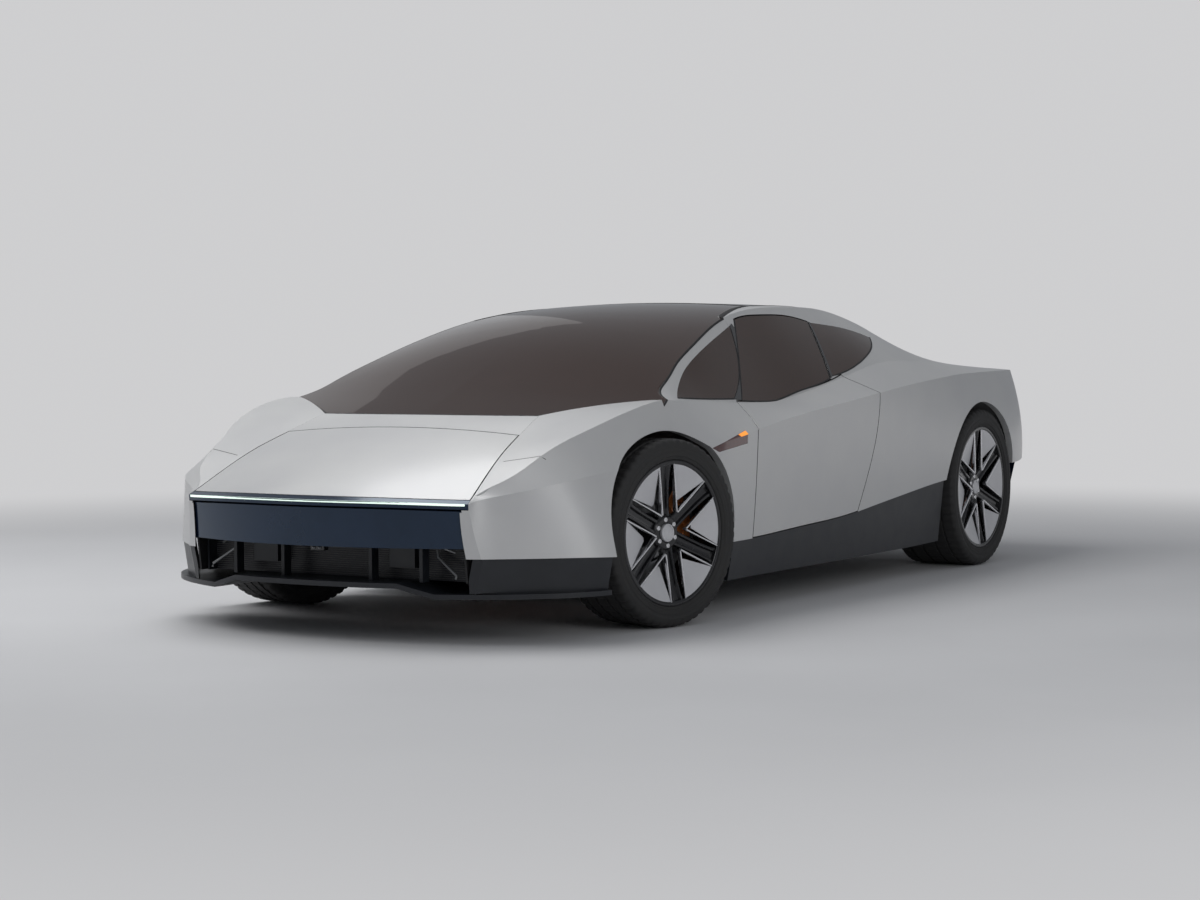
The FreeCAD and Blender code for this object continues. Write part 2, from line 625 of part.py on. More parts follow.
def pane_rebate(stretches):
    """Opening for a side pane and the ledge round it."""
    opening = side_prism(stretches, -S.glass_rebate)
    ledge = side_skin(-S.overrun, S.glass_thickness + S.seat_gap).common(side_prism(stretches))
    return [opening, ledge]


def side_pane(stretches):
    """A side window's pane, flush with the body side."""
    return side_skin(0, S.glass_thickness).common(side_prism(stretches, -S.seam_gap))


def inboard_prism(line, front_y, rear_y):
    """Upright prism of everything inboard of a seam line on the left."""
    ends = [(line[-1][0], rear_y), (-reach, rear_y), (-reach, front_y), (line[0][0], front_y)]
    return plan_prism(line + ends)


def half_shell(lower_than):
    """Left half of the body as a shell under one of its upper surfaces."""
    outside = side_solid(0).common(lower_than(0))
    inside = side_solid(S.panel_thickness).common(lower_than(S.panel_thickness))
    return outside.cut(inside)


def make_fender():
    """Left front fender with the nose corner, wheel arch and windshield pillar."""
    shell = half_shell(under_hood).common(y_slab(far_front, foot_y))
    corner = [(screen_x, screen_y), (foot_x, foot_y)]
    seam = plan_line(hood_seam_shares, S.shut_gap / 2)
    ledge = [(x - S.ledge_width, y) for x, y in seam[:-1]] + seam[-1:]
    above = hood_layer(-S.overrun, S.lid_panel + S.lid_gap)
    above = above.common(inboard_prism(seam + corner, far_front, 0))
    room = hood_layer(-S.overrun, S.panel_thickness + S.overlap)
    room = room.common(inboard_prism(ledge + corner, far_front, 0))
    pillar = common(left_skin, y_slab(foot_y, pillar_top_y), under_glass(S.glass_thickness + S.seat_gap))
    body = cut(shell, above, room).fuse(pillar)
    body = common(body, nose_solid(0), painted)
    body = cut(body, front_arch, door_room, door_glass_room, *pane_rebate(front_quarter_shares))
    marker = side_skin(-S.overrun, S.marker_depth + S.seat_gap).common(side_prism(marker_shares, S.seam_gap))
    return single(body.cut(marker))


def make_side_panel():
    """Left side frame: roof rail, rear pillar and rear quarter in one pressing."""
    shell = half_shell(under_glass).common(y_slab(pillar_top_y + S.seam_gap, far_rear))
    line = plan_line(roof_rail_shares, S.seam_gap) + plan_line(deck_seam_shares[1:], S.shut_gap / 2)
    ledge = [(x - S.ledge_width, y) for x, y in line]
    panes = glass_layer(-S.overrun, S.glass_thickness + S.seat_gap)
    lids = glass_layer(-S.overrun, S.lid_panel + S.lid_gap)
    above = panes.common(inboard_prism(line, 2 * pillar_top_y, lid_front_y))
    above_lid = lids.common(inboard_prism(line, 2 * pillar_top_y, far_rear))
    above_lid = above_lid.common(y_slab(lid_front_y, far_rear))
    room = glass_layer(-S.overrun, S.panel_thickness + S.overlap).common(
        inboard_prism(ledge, 2 * pillar_top_y, far_rear))
    body = cut(shell, above, above_lid, room)
    body = common(body, tail_solid(0), painted)
    body = cut(body, rear_arch, door_room, door_glass_room, *pane_rebate(rear_quarter_shares))
    return single(cut(body, *pane_rebate(front_quarter_shares)))


def make_door():
    """Left door: outer skin on a thick inner box that stands back from the shutlines."""
    skin = common(left_skin, side_prism(door_shares), lower_edge_prism(S.shut_gap, True))
    box_zone = side_prism(door_shares, -S.door_step)
    inner = side_skin(S.panel_thickness - S.overlap, S.door_thickness).common(box_zone)
    inner = inner.common(lower_edge_prism(S.door_step, True))
    return single(skin.fuse(inner))


def make_hood():
    seam = plan_line(hood_seam_shares, -S.shut_gap / 2)
    rear = hood_rear_y - S.shut_gap / 2
    zone = both_sides([(x, y) for x, y in seam])
    top = common(hood_layer(0, S.lid_panel), plan_prism(zone), y_slab(far_front, rear))
    return single(top.common(nose_solid(S.light_depth + S.shut_gap)))


def make_light_bar():
    seam = plan_line(hood_seam_shares, S.shut_gap / 2 - S.seat_gap)
    top = common(hood_layer(0, S.light_height), plan_prism(both_sides(seam)), nose_solid(0))
    return single(top.cut(nose_solid(S.light_depth)))


def screen_base(shift):
    """Forward edge of the windshield seen from above, as a smooth curve from side to side."""
    middle = along(screen_base_share) + shift
    left = Vector(screen_x, screen_y + shift, 0)
    right = Vector(-screen_x, screen_y + shift, 0)
    return Part.Arc(right, Vector(0, middle, 0), left).toShape()


def screen_prism(base_shift, rear_y):
    """Upright prism of the windshield's outline between its base and a station."""
    base = screen_base(base_shift)
    start = base.firstVertex(True).Point
    end = base.lastVertex(True).Point
    side = [end, Vector(foot_x, foot_y + base_shift, 0), Vector(reach, foot_y + base_shift, 0)]
    side.append(Vector(reach, rear_y, 0))
    other = [Vector(-p.x, p.y, 0) for p in reversed(side[1:])] + [start]
    points = side + other
    edges = [base] + [Part.makeLine(a, b) for a, b in zip(points, points[1:])]
    return Part.Face(Part.Wire(edges)).extrude(Vector(0, 0, ceiling))


def make_cowl():
    seam = plan_line(hood_seam_shares, S.shut_gap / 2 - S.seam_gap)
    top = common(hood_layer(0, S.lid_panel), plan_prism(both_sides(seam)))
    top = top.common(y_slab(hood_rear_y + S.shut_gap / 2, 0))
    return single(top.cut(screen_prism(-S.seam_gap, S.body_length)))


def make_windshield():
    outline = screen_prism(S.seam_gap, header_y)
    pane = common(glass_layer(0, S.glass_thickness), outline)
    rail = plan_line(roof_rail_shares, 0)
    keep = [(reach, far_front), (reach, rail[0][1])] + rail + [(0, rail[-1][1]), (0, far_front)]
    half = common(pane, side_solid(S.seam_gap), plan_prism(keep))
    return single(half.fuse(mirrored(half)).removeSplitter())


def roof_zone(y_low, y_high):
    rail = plan_line(roof_rail_shares, 0)
    zone = [(x, y) for x, y in rail]
    return plan_prism(both_sides(zone)).common(y_slab(y_low, y_high))


def make_roof_glass():
    return single(glass_layer(0, S.glass_thickness).common(
        roof_zone(header_y + S.seam_gap, along(roof_rear_share) - S.seam_gap)))


def make_rear_window():
    return single(glass_layer(0, S.glass_thickness).common(
        roof_zone(along(roof_rear_share), lid_front_y - S.seam_gap)))


def make_rear_lid():
    seam = plan_line(deck_seam_shares, -S.shut_gap / 2)
    zone = plan_prism(both_sides(seam))
    return single(common(glass_layer(0, S.lid_panel), zone, y_slab(lid_front_y + S.shut_gap, lid_rear_y)))


def make_front_panel():
    """Glossy panel across the nose between the light bar and the mouth."""
    zone = box((-S.mouth_half_width, S.mouth_half_width), (far_front, 0), (S.mouth_top, S.body_height))
    shell = common(nose_solid(S.panel_set), zone, under_hood(S.light_height + S.light_gap))
    shell = shell.common(body_solid(S.panel_thickness + S.seam_gap))
    return single(shell.cut(nose_solid(S.panel_set + S.panel_thickness)))


def make_splitter():
    """Front blade with a raised middle, and the dark walls under the nose corners."""
    low = S.splitter_low
    high = low + S.splitter_rise
    half = [(S.splitter_middle, high), (S.splitter_middle + S.splitter_ramp, low), (reach, low)]
    under = [(-x, z) for x, z in reversed(half)] + half
    ring = under + [(x, z + S.splitter_thickness) for x, z in reversed(under)]
    wire = Part.makePolygon([Vector(x, far_front, z) for x, z in ring + ring[:1]])
    slab = Part.Face(wire).extrude(Vector(0, S.body_length, 0))
    edge = [(across(x), along(y)) for x, y in splitter_edge_shares]
    front = Part.BSplineCurve()
    front.interpolate([Vector(x, y, 0) for x, y in [(-x, y) for x, y in reversed(edge)] + edge[1:]])
    back_y = arch_place - S.front_arch_half_length - S.liner_gap
    ends = [Vector(edge[-1][0], edge[-1][1], 0), Vector(-edge[-1][0], edge[-1][1], 0)]
    back = [ends[0], Vector(ends[0].x, back_y, 0), Vector(ends[1].x, back_y, 0), ends[1]]
    edges = [front.toShape()] + [Part.makeLine(a, b) for a, b in zip(back, back[1:])]
    blade = slab.common(Part.Face(Part.Wire(edges)).extrude(Vector(0, 0, ceiling)))
    wall = side_skin(S.wall_set, S.wall_set + S.splitter_thickness)
    wall = wall.common(lower_edge_prism(-S.seam_gap, False))
    room = box((S.mouth_half_width, reach), (far_front, back_y), (low + S.overlap, S.body_height))
    wall = common(wall, room, nose_solid(S.wall_set))
    return single(blade.fuse([wall, mirrored(wall)]))


def make_intake():
    """Open duct behind the mouth: walls, upright struts and the heat exchanger at its back."""
    front = -S.body_length / 2 + S.intake_set
    back = front + S.intake_depth
    floor = front_rail_low
    half = S.mouth_half_width - S.panel_thickness
    core = box((-half, half), (back, back + S.core_depth), (floor, S.light_top - 2 * S.panel_thickness))
    beam = box((-half, half), (front, back), (S.mouth_top + S.beam_height, S.mouth_top + 2 * S.beam_height))
    parts = [beam]
    for share in strut_shares:
        x = share * half
        parts.append(box((x - S.strut_width / 2, x + S.strut_width / 2), (front, front + S.strut_depth),
                         (floor, S.mouth_top + S.beam_height + S.overlap)))
    for share in module_shares:
        x = share * half
        x_range = (x - S.module_width / 2, x + S.module_width / 2)
        parts.append(box(x_range, (front + S.strut_depth, back + S.overlap),
                         (floor + S.module_lift, S.mouth_top + S.beam_height + S.overlap)))
    for side in (-1, 1):
        wall = sorted((side * half, side * (half + S.trunk_wall)))
        parts.append(box(wall, (front + S.intake_depth / 2, back + S.core_depth),
                         (floor, S.light_top - 2 * S.panel_thickness)))
    behind_panel = nose_solid(S.panel_set + S.panel_thickness + S.seat_gap)
    return single(core.fuse(parts).common(behind_panel))


def make_trunk():
    """Luggage tub under the hood, open at the top."""
    half = S.rail_place - S.rail_width - S.seat_gap
    y_range = (-S.trunk_front, -S.trunk_rear)
    outer = box((-half, half), y_range, (S.trunk_bottom, S.body_height))
    wall = S.trunk_wall
    inner = box((wall - half, half - wall), (y_range[0] + wall, y_range[1] - wall),
                (S.trunk_bottom + wall, S.body_height))
    return single(outer.common(under_hood(S.lid_panel + S.seat_gap)).cut(inner))


def make_tub():
    """Floor with the cells, sills, firewall, bulkhead, door posts and the rails of both ends."""
    low = S.floor_bottom
    top = low + S.floor_thickness
    front_y = -S.firewall_place
    rear_y = S.bulkhead_place
    floor = box((-S.floor_half_width, S.floor_half_width), (front_y, rear_y), (low, top))
    tunnel = box((-S.tunnel_half_width, S.tunnel_half_width), (front_y, rear_y), (low, S.tunnel_height))
    firewall = box((-reach, reach), (front_y - S.wall_thickness, front_y), (low, S.firewall_height))
    bulkhead = box((-reach, reach), (rear_y, rear_y + S.wall_thickness), (low, S.bulkhead_height))
    post = box((-reach, reach), (S.post_place, S.post_place + S.post_width), (low, S.bulkhead_height))
    room = S.floor_half_width - S.post_width
    post = post.cut(box((-room, room), (0, reach), (top, S.body_height)))
    walls = firewall.fuse([bulkhead, post])
    upper = walls.common(box((-reach, reach), (-reach, reach), (S.skirt_top, S.body_height)))
    lower = walls.common(box((-reach, reach), (-reach, reach), (low, S.skirt_top)))
    walls = upper.common(body_solid(S.panel_thickness + S.seat_gap)).fuse(
        lower.common(body_solid(S.door_thickness + S.seat_gap)))
    sills = box((-reach, reach), (front_y, rear_y), (low, S.sill_height))
    sills = sills.cut(box((-S.floor_half_width + S.overlap, S.floor_half_width - S.overlap),
                          (front_y, rear_y), (low, S.body_height)))
    sills = sills.common(body_solid(S.door_thickness + S.lid_gap))
    rails = []
    for side in (-1, 1):
        x_range = sorted((side * S.rail_place, side * (S.rail_place - S.rail_width)))
        rails.append(box(x_range, (front_y - S.rail_front_reach, front_y),
                         (front_rail_low, front_rail_low + S.rail_height)))
        rails.append(box(x_range, (rear_y, rear_y + S.rail_rear_reach),
                         (S.rear_rail_low, S.rear_rail_low + S.rail_height)))
        for axle, low_z in ((front_axle, front_rail_low), (rear_axle, S.rear_rail_low)):
            tower = (axle - S.tower_length / 2, axle + S.tower_length / 2)
            rails.append(box(x_range, tower, (low_z, low_z + S.tower_height)))
    return single(floor.fuse([tunnel, walls, sills] + rails))


def make_skirts():
    """Dark sill covers between the wheels."""
    front_y = arch_place + S.front_arch_half_length + S.liner_gap
    rear_y = rear_axle - S.rear_arch_radius - S.liner_gap
    skirt = common(side_skin(S.wall_set, S.door_thickness), lower_edge_prism(-S.seam_gap, False))
    return single(skirt.common(y_slab(front_y, rear_y)))


def make_liner(axle_y, axle_z, radius, top_trim):
    """Wheel liner: a half drum open to the side, with its inner wall."""
    centre = Vector(S.liner_inner_place, axle_y, axle_z)
    axis = Vector(1, 0, 0)
    outer = Part.makeCylinder(radius, reach, centre, axis)
    centre_in = Vector(S.liner_inner_place + S.liner_thickness, axle_y, axle_z)
    inner = Part.makeCylinder(radius - S.liner_thickness, reach, centre_in, axis)
    drum = outer.cut(inner)
    window = box((0, reach), (axle_y - S.liner_window, axle_y + S.liner_window),
                 (0, axle_z + S.liner_window))
    drum = drum.cut(window)
    drum = drum.common(box((0, reach), (far_front, far_rear), (axle_z - S.liner_drop, S.body_height)))
    return single(common(drum, side_solid(S.panel_thickness + S.seat_gap), top_trim))


def make_rear_fascia():
    """Tail panel with the strip of deck behind the lid and a slot for the light."""
    face = tail_solid(S.panel_set).cut(tail_solid(S.panel_set + S.panel_thickness))
    face = common(face, body_solid(S.panel_thickness + S.seam_gap))
    face = face.common(box((-reach, reach), (0, far_rear), (S.tail_bottom, S.body_height)))
    middle = plan_prism(both_sides(plan_line(deck_seam_shares, -S.ledge_width - S.seam_gap)))
    neck = common(face, under_glass(S.panel_thickness / 2), middle)
    face = face.common(under_glass(S.panel_thickness + S.seat_gap)).fuse(neck)
    strip = common(glass_layer(0, S.lid_panel), tail_solid(0), y_slab(lid_rear_y + S.shut_gap, far_rear))
    strip = strip.common(plan_prism(both_sides(plan_line(deck_seam_shares, 0))))
    slot = box((-S.tail_light_half, S.tail_light_half), (0, far_rear),
               (S.tail_light_low, S.tail_light_low + S.light_height))
    return single(face.fuse(strip).cut(slot))


def make_tail_light():
    gap = S.seam_gap
    bar = box((gap - S.tail_light_half, S.tail_light_half - gap), (0, far_rear),
              (S.tail_light_low + gap, S.tail_light_low + S.light_height - gap))
    bar = bar.common(tail_solid(S.panel_set)).cut(tail_solid(S.panel_set + S.light_depth))
    return single(bar.common(body_solid(S.panel_thickness + S.seam_gap)))


def make_diffuser():
    """Upswept floor under the tail with upright fins."""
    front_y = rear_axle + S.rear_arch_radius + S.liner_gap
    back_y = tail_at(S.tail_bottom) - S.panel_set - S.panel_thickness / 2
    back_z = S.tail_bottom - S.diffuser_plate - S.seat_gap
    points = [(front_y, S.floor_bottom + S.diffuser_rise), (back_y, back_z)]
    ring = points + [(y, z + S.diffuser_plate) for y, z in reversed(points)]
    half = S.diffuser_half_width
    wire = Part.makePolygon([Vector(-half, y, z) for y, z in ring + ring[:1]])
    plate = Part.Face(wire).extrude(Vector(2 * half, 0, 0))
    fins = []
    fin_ring = [points[0], points[1], (back_y, points[1][1] - S.fin_depth)]
    for step in range(int(S.fin_count)):
        x = (step / (S.fin_count - 1) - 1 / 2) * 2 * S.fin_spread
        wire = Part.makePolygon([Vector(x, y, z + S.overlap) for y, z in fin_ring + fin_ring[:1]])
        fins.append(Part.Face(wire).extrude(Vector(S.fin_thickness, 0, 0)))
    return single(plate.fuse(fins))


class Term:
    """A length with the spreadsheet expression it comes from."""

    def __init__(self, value, text):
        self.value = value
        self.text = text

    def joined(self, sign, other, value):
        return Term(value, "(" + self.text + sign + other.text + ")")

    def __add__(self, other):
        return self.joined(" + ", other, self.value + other.value)

    def __sub__(self, other):
        return self.joined(" - ", other, self.value - other.value)

    def __mul__(self, share):
        return Term(self.value * share, "(" + self.text + " * " + str(share) + ")")

    def __neg__(self):
        return Term(-self.value, "(0 - " + self.text + ")")


T = SimpleNamespace(**{alias: Term(value, "sizes." + alias) for alias, value in vars(S).items()})
nothing = Term(0.0, "0")


def origin_plane(body, role):
    return next(item for item in body.Origin.OriginFeatures if item.Role == role)


def bound_sketch(body, label, role, outline, lift=None):
    """Closed outline on an origin plane: every corner's place is bound to the sheet."""
    sketch = body.newObject("Sketcher::SketchObject", label)
    sketch.AttachmentSupport = [(origin_plane(body, role), "")]
    sketch.MapMode = "FlatFace"
    if lift:
        sketch.setExpression("AttachmentOffset.Base.z", lift.text)
    corners = [Vector(x.value, y.value, 0) for x, y in outline]
    for start, end in zip(corners, corners[1:] + corners[:1]):
        sketch.addGeometry(Part.LineSegment(start, end), False)
    for index, (x, y) in enumerate(outline):
        before = index - 1 if index else len(outline) - 1
        sketch.addConstraint(Sketcher.Constraint("Coincident", before, 2, index, 1))
        across_place = sketch.addConstraint(Sketcher.Constraint("DistanceX", -1, 1, index, 1, x.value))
        up_place = sketch.addConstraint(Sketcher.Constraint("DistanceY", -1, 1, index, 1, y.value))
        sketch.setExpression("Constraints[" + str(across_place) + "]", x.text)
        sketch.setExpression("Constraints[" + str(up_place) + "]", y.text)
    return sketch


def rectangle(x_low, x_high, y_low, y_high):
    return [(x_low, y_low), (x_high, y_low), (x_high, y_high), (x_low, y_high)]


def revolve(body, label, outline):
    """Ring about the wheel's axle from an outline of depth and radius."""
    ring = body.newObject("PartDesign::Revolution", label)
    profile = bound_sketch(body, label + "_profile", "XZ_Plane", outline)
    ring.Profile = profile
    ring.ReferenceAxis = (profile, ["H_Axis"])
    ring.Angle = 360
    profile.Visibility = False
    return ring


def around(body, label, feature, count):
    """Repeats a feature round the wheel's axle."""
    pattern = body.newObject("PartDesign::PolarPattern", label)
    pattern.Originals = [feature]
    pattern.Axis = (next(item for item in body.Origin.OriginFeatures if item.Role == "X_Axis"), [""])
    pattern.Angle = 360
    pattern.setExpression("Occurrences", count.text)
    body.Tip = pattern
    return pattern


def new_body(label, placement):
    body = doc.addObject("PartDesign::Body", label)
    body.Label = label
    body.Placement = placement
    pieces.append(body)
    return body


def make_tyre(label, placement, width, radius, rim):
    """Tyre as a solid ring on the rim, with upright walls and cut shoulders."""
    body = new_body(label, placement)
    half = [
        (-T.rim_set, rim + T.seat_gap),
        (nothing, rim + T.rim_set),
        (nothing, radius - T.tyre_shoulder),
        (-T.tyre_shoulder, radius),
    ]
    other = [(-width - x, r) for x, r in reversed(half)]
    body.Tip = revolve(body, label + "_ring", half + other)
    return body


def make_rim(label, placement, width, rim):
    """Rim barrel with six wedge spokes, the hub and its brake disc."""
    body = new_body(label, placement)
    inside = rim - T.rim_wall
    far = width - T.rim_set
    barrel = [(-T.rim_set, inside), (-T.rim_set, rim), (-far, rim), (-far, inside)]
    revolve(body, label + "_barrel", barrel)
    root = bound_sketch(body, label + "_root", "XY_Plane", rectangle(
        -T.star_recess - T.star_thickness, -T.star_recess,
        -T.star_root_width * 0.5, T.star_root_width * 0.5), T.star_hub_radius * 0.75)
    tip = bound_sketch(body, label + "_tip", "XY_Plane", rectangle(
        -T.star_tip_set - T.star_thickness, -T.star_tip_set,
        -T.star_tip_width * 0.5, T.star_tip_width * 0.5), inside + T.overlap)
    spoke = body.newObject("PartDesign::AdditiveLoft", label + "_spoke")
    spoke.Profile = root
    spoke.Sections = [tip]
    around(body, label + "_star", spoke, T.star_spokes)
    bore = T.stub_radius + T.seat_gap
    hub_end = T.star_recess + T.hub_length
    disc_end = T.disc_set + T.disc_thickness
    hub = [(-T.star_recess, bore), (-T.star_recess, T.star_hub_radius), (-T.disc_set, T.star_hub_radius),
           (-T.disc_set, T.disc_radius), (-disc_end, T.disc_radius), (-disc_end, T.star_hub_radius),
           (-hub_end, T.star_hub_radius), (-hub_end, bore)]
    body.Tip = revolve(body, label + "_hub", hub)
    return body


def make_blades(label, placement, rim):
    """Flat aero blades between the spokes, carried by a band on the rim's lip."""
    body = new_body(label, placement)
    back = T.rim_set - T.seat_gap
    edge = rim - T.blade_margin
    plate = [(-back, T.stub_radius), (-back + T.blade_thickness, T.stub_radius),
             (-back + T.blade_thickness, edge), (-back, edge)]
    revolve(body, label + "_plate", plate)
    slot = bound_sketch(body, label + "_slot", "YZ_Plane", rectangle(
        -T.blade_slot * 0.5, T.blade_slot * 0.5, -T.overlap, edge - T.blade_band))
    opening = body.newObject("PartDesign::Pocket", label + "_opening")
    opening.Profile = slot
    opening.Type = "ThroughAll"
    opening.Midplane = True
    around(body, label + "_openings", opening, T.star_spokes)
    return body


def bound(kind, label, **terms):
    """Part primitive whose properties are bound to the sheet."""
    item = doc.addObject(kind, label)
    for name, term in terms.items():
        item.setExpression(name.replace("_", "."), term.text)
    return item


def bound_box(label, x, y, z, x_size, y_size, z_size):
    item = bound("Part::Box", label, Length=x_size, Width=y_size, Height=z_size)
    for axis, term in zip("xyz", (x, y, z)):
        item.setExpression("Placement.Base." + axis, term.text)
    return item


def bound_cylinder(label, along_x, x, y, z, radius, length):
    item = bound("Part::Cylinder", label, Radius=radius, Height=length)
    if along_x:
        item.Placement = Placement(Vector(0, 0, 0), Rotation(Vector(0, 1, 0), 90))
    for axis, term in zip("xyz", (x, y, z)):
        item.setExpression("Placement.Base." + axis, term.text)
    return item


def joined(label, parts):
    item = doc.addObject("Part::MultiFuse", label)
    item.Shapes = parts
    item.Label = label
    return item


def without(label, base, tool):
    item = doc.addObject("Part::Cut", label)
    item.Base = base
    item.Tool = tool
    item.Label = label
    return item


def make_upright(label, placement, rearward, has_pin):
    """Hub carrier with its stub axle, caliper and, at the front, its steering pin."""
    place = -T.upright_place
    half = T.knuckle_thickness * 0.5
    parts = [
        bound_cylinder(label + "_stub", True, place, nothing, nothing, T.stub_radius,
                       T.upright_place - T.star_recess - T.overlap),
        bound_box(label + "_post", place - half, -T.knuckle_width * 0.5, -T.knuckle_reach,
                  T.knuckle_thickness, T.knuckle_width, T.knuckle_reach * 2),
    ]
    back = T.disc_set + T.disc_thickness + T.disc_clearance
    bracket = bound_box(label + "_bracket", place, nothing, -T.knuckle_width * 0.5,
                        T.upright_place - back, T.caliper_outer * 0.8, T.knuckle_width)
    if not rearward:
        bracket.setExpression("Placement.Base.y", (-T.caliper_outer * 0.8).text)
    parts.append(bracket)
    if has_pin:
        lift = T.knuckle_reach + T.arm_thickness
        parts.append(bound_cylinder(label + "_pin", False, place, nothing, -lift, T.pin_radius, lift * 2))
    middle = T.disc_set + T.disc_thickness * 0.5
    caliper = bound("Part::Cylinder", label + "_arc", Radius=T.caliper_outer, Height=T.caliper_width,
                    Angle=T.caliper_arc)
    # The local start of the arc lies toward -Z once the cylinder stands along X.
    start = (90 + S.caliper_start) if rearward else (270 - S.caliper_start - S.caliper_arc)
    turn = Rotation(Vector(1, 0, 0), start).multiply(Rotation(Vector(0, 1, 0), 90))
    caliper.Placement = Placement(Vector(0, 0, 0), turn)
    caliper.setExpression("Placement.Base.x", (-middle - T.caliper_width * 0.5).text)
    core = bound_cylinder(label + "_core", True, -middle - T.caliper_width, nothing, nothing,
                          T.caliper_inner, T.caliper_width * 2)
    arc = without(label + "_caliper", caliper, core)
    solid = joined(label + "_solid", parts + [arc])
    slot = bound_cylinder(label + "_slot", True, -back, nothing, nothing, T.disc_radius + T.disc_clearance,
                          T.disc_thickness + T.disc_clearance * 2)
    stub_room = bound_cylinder(label + "_room", True, -back - T.overlap, nothing, nothing,
                               T.stub_radius, T.disc_thickness * 3)
    slot = without(label + "_ring", slot, stub_room)
    piece = without(label, solid, slot)
    piece.Placement = placement
    pieces.append(piece)
    return piece


def make_arm(axle_y, level, pin_place, bore):
    """Forked suspension arm of the left side, seated against the rail."""
    inner = S.rail_place + S.seat_gap
    half = S.arm_width / 2
    fork = [(pin_place, -half), (inner, -S.arm_spread - half), (inner, half - S.arm_spread),
            (pin_place - S.arm_notch, 0), (inner, S.arm_spread - half), (inner, S.arm_spread + half),
            (pin_place, half)]
    points = [Vector(x, axle_y + y, level) for x, y in fork]
    arm = Part.Face(Part.makePolygon(points + points[:1])).extrude(Vector(0, 0, S.arm_thickness))
    if bore:
        middle = Vector(pin_place, axle_y, level)
        arm = arm.fuse(Part.makeCylinder(S.arm_width / 2 + S.pin_radius / 2, S.arm_thickness, middle))
        arm = arm.cut(Part.makeCylinder(bore, S.arm_thickness, middle))
    return arm


def make_arms(axle_y, axle_z, pin_place, bore):
    """Upper and lower arms of both wheels of an axle."""
    step = S.knuckle_reach + S.seat_gap
    upper = make_arm(axle_y, axle_z + step, pin_place, bore)
    lower = make_arm(axle_y, axle_z - step - S.arm_thickness, pin_place, bore)
    return Part.makeCompound([upper, lower, mirrored(upper), mirrored(lower)])


def make_seat(label, centre):
    """Bucket seat: cushion and reclined back in one profile, standing on the floor."""
    body = new_body(label, Placement(Vector(centre - S.seat_width / 2, 0, 0), Rotation()))
    top = T.floor_bottom + T.floor_thickness + T.seat_gap
    outline = [(T.seat_front + T.seat_length * y, top + T.seat_height * z) for y, z in seat_profile_shares]
    pad = body.newObject("PartDesign::Pad", label + "_pad")
    pad.Profile = bound_sketch(body, label + "_profile", "YZ_Plane", outline)
    pad.setExpression("Length", "sizes.seat_width")
    body.Tip = pad
    return body


def make_dashboard(label):
    """Dashboard across the cabin, seated on the firewall."""
    body = new_body(label, Placement())
    outline = [(T.dash_depth * y - T.firewall_place + T.seat_gap, T.dash_bottom + T.dash_height * z)
               for y, z in dash_profile_shares]
    pad = body.newObject("PartDesign::Pad", label + "_pad")
    pad.Profile = bound_sketch(body, label + "_profile", "YZ_Plane", outline)
    pad.setExpression("Length", "sizes.dash_half_width * 2")
    pad.Midplane = True
    body.Tip = pad
    return body


def make_steering_wheel(label):
    """Rim, crossbar and column, the column's end square on the dashboard's driver face."""
    outer = bound_cylinder(label + "_outer", False, nothing, nothing, -T.steering_grip,
                           T.steering_radius + T.steering_grip, T.steering_grip * 2)
    inner = bound_cylinder(label + "_inner", False, nothing, nothing, -T.steering_grip,
                           T.steering_radius - T.steering_grip, T.steering_grip * 2)
    ring = without(label + "_rim", outer, inner)
    bar = bound_cylinder(label + "_bar", True, -T.steering_radius, nothing, nothing,
                         T.steering_grip, T.steering_radius * 2)
    column = bound_cylinder(label + "_column", False, nothing, nothing, -T.column_length,
                            T.steering_grip * 2, T.column_length)
    piece = joined(label, [ring, bar, column])
    (upper_y, upper_z), (lower_y, lower_z) = dash_profile_shares[4:6]
    face = Vector(S.seat_place, S.seat_gap - S.firewall_place + S.dash_depth * (upper_y + lower_y) / 2,
                  S.dash_bottom + S.dash_height * (upper_z + lower_z) / 2)
    tilt = Rotation(Vector(1, 0, 0), S.column_angle)
    piece.Placement = Placement(face + tilt.multVec(Vector(0, 0, S.column_length + S.seat_gap)), tilt)
    pieces.append(piece)
    return piece


def steered(side, place, radius):
    """Placement of something on a front wheel, its local X running outward."""
    pin = Vector(side * (S.front_wheel_face - S.upright_place), front_axle, radius)
    turn = Rotation(Vector(0, 0, 1), -S.parked_steer + (0 if side > 0 else 180))
    return Placement(pin + turn.multVec(Vector(place, 0, 0)), turn)


def straight(side):
    """Placement of something on a rear wheel, its local X running outward."""
    turn = Rotation(Vector(0, 0, 1), 0 if side > 0 else 180)
    return Placement(Vector(side * S.rear_wheel_face, rear_axle, S.rear_tyre_radius), turn)


def spun(placement, side):
    """The same placement with the wheel rolled to where it is parked."""
    roll = Rotation(Vector(1, 0, 0), side * S.parked_spin)
    return Placement(placement.Base, placement.Rotation.multiply(roll))


add_piece("tub", make_tub())
add_piece("luggage_tub", make_trunk())
fender = make_fender()
add_piece("fender_left", fender)
add_piece("fender_right", mirrored(fender))
side_panel = make_side_panel()
add_piece("side_panel_left", side_panel)
add_piece("side_panel_right", mirrored(side_panel))
door = make_door()
add_piece("door_left", door)
add_piece("door_right", mirrored(door))
door_pane = side_pane(door_glass_shares)
add_piece("door_glass_left", door_pane)
add_piece("door_glass_right", mirrored(door_pane))
quarters = [side_pane(front_quarter_shares), side_pane(rear_quarter_shares)]
add_piece("quarter_glass", Part.makeCompound(quarters + [mirrored(pane) for pane in quarters]))
add_piece("hood", make_hood())
add_piece("cowl_panel", make_cowl())
add_piece("windshield", make_windshield())
add_piece("roof_glass", make_roof_glass())
add_piece("rear_window", make_rear_window())
add_piece("rear_lid", make_rear_lid())
add_piece("front_light_bar", make_light_bar())
add_piece("front_panel", make_front_panel())
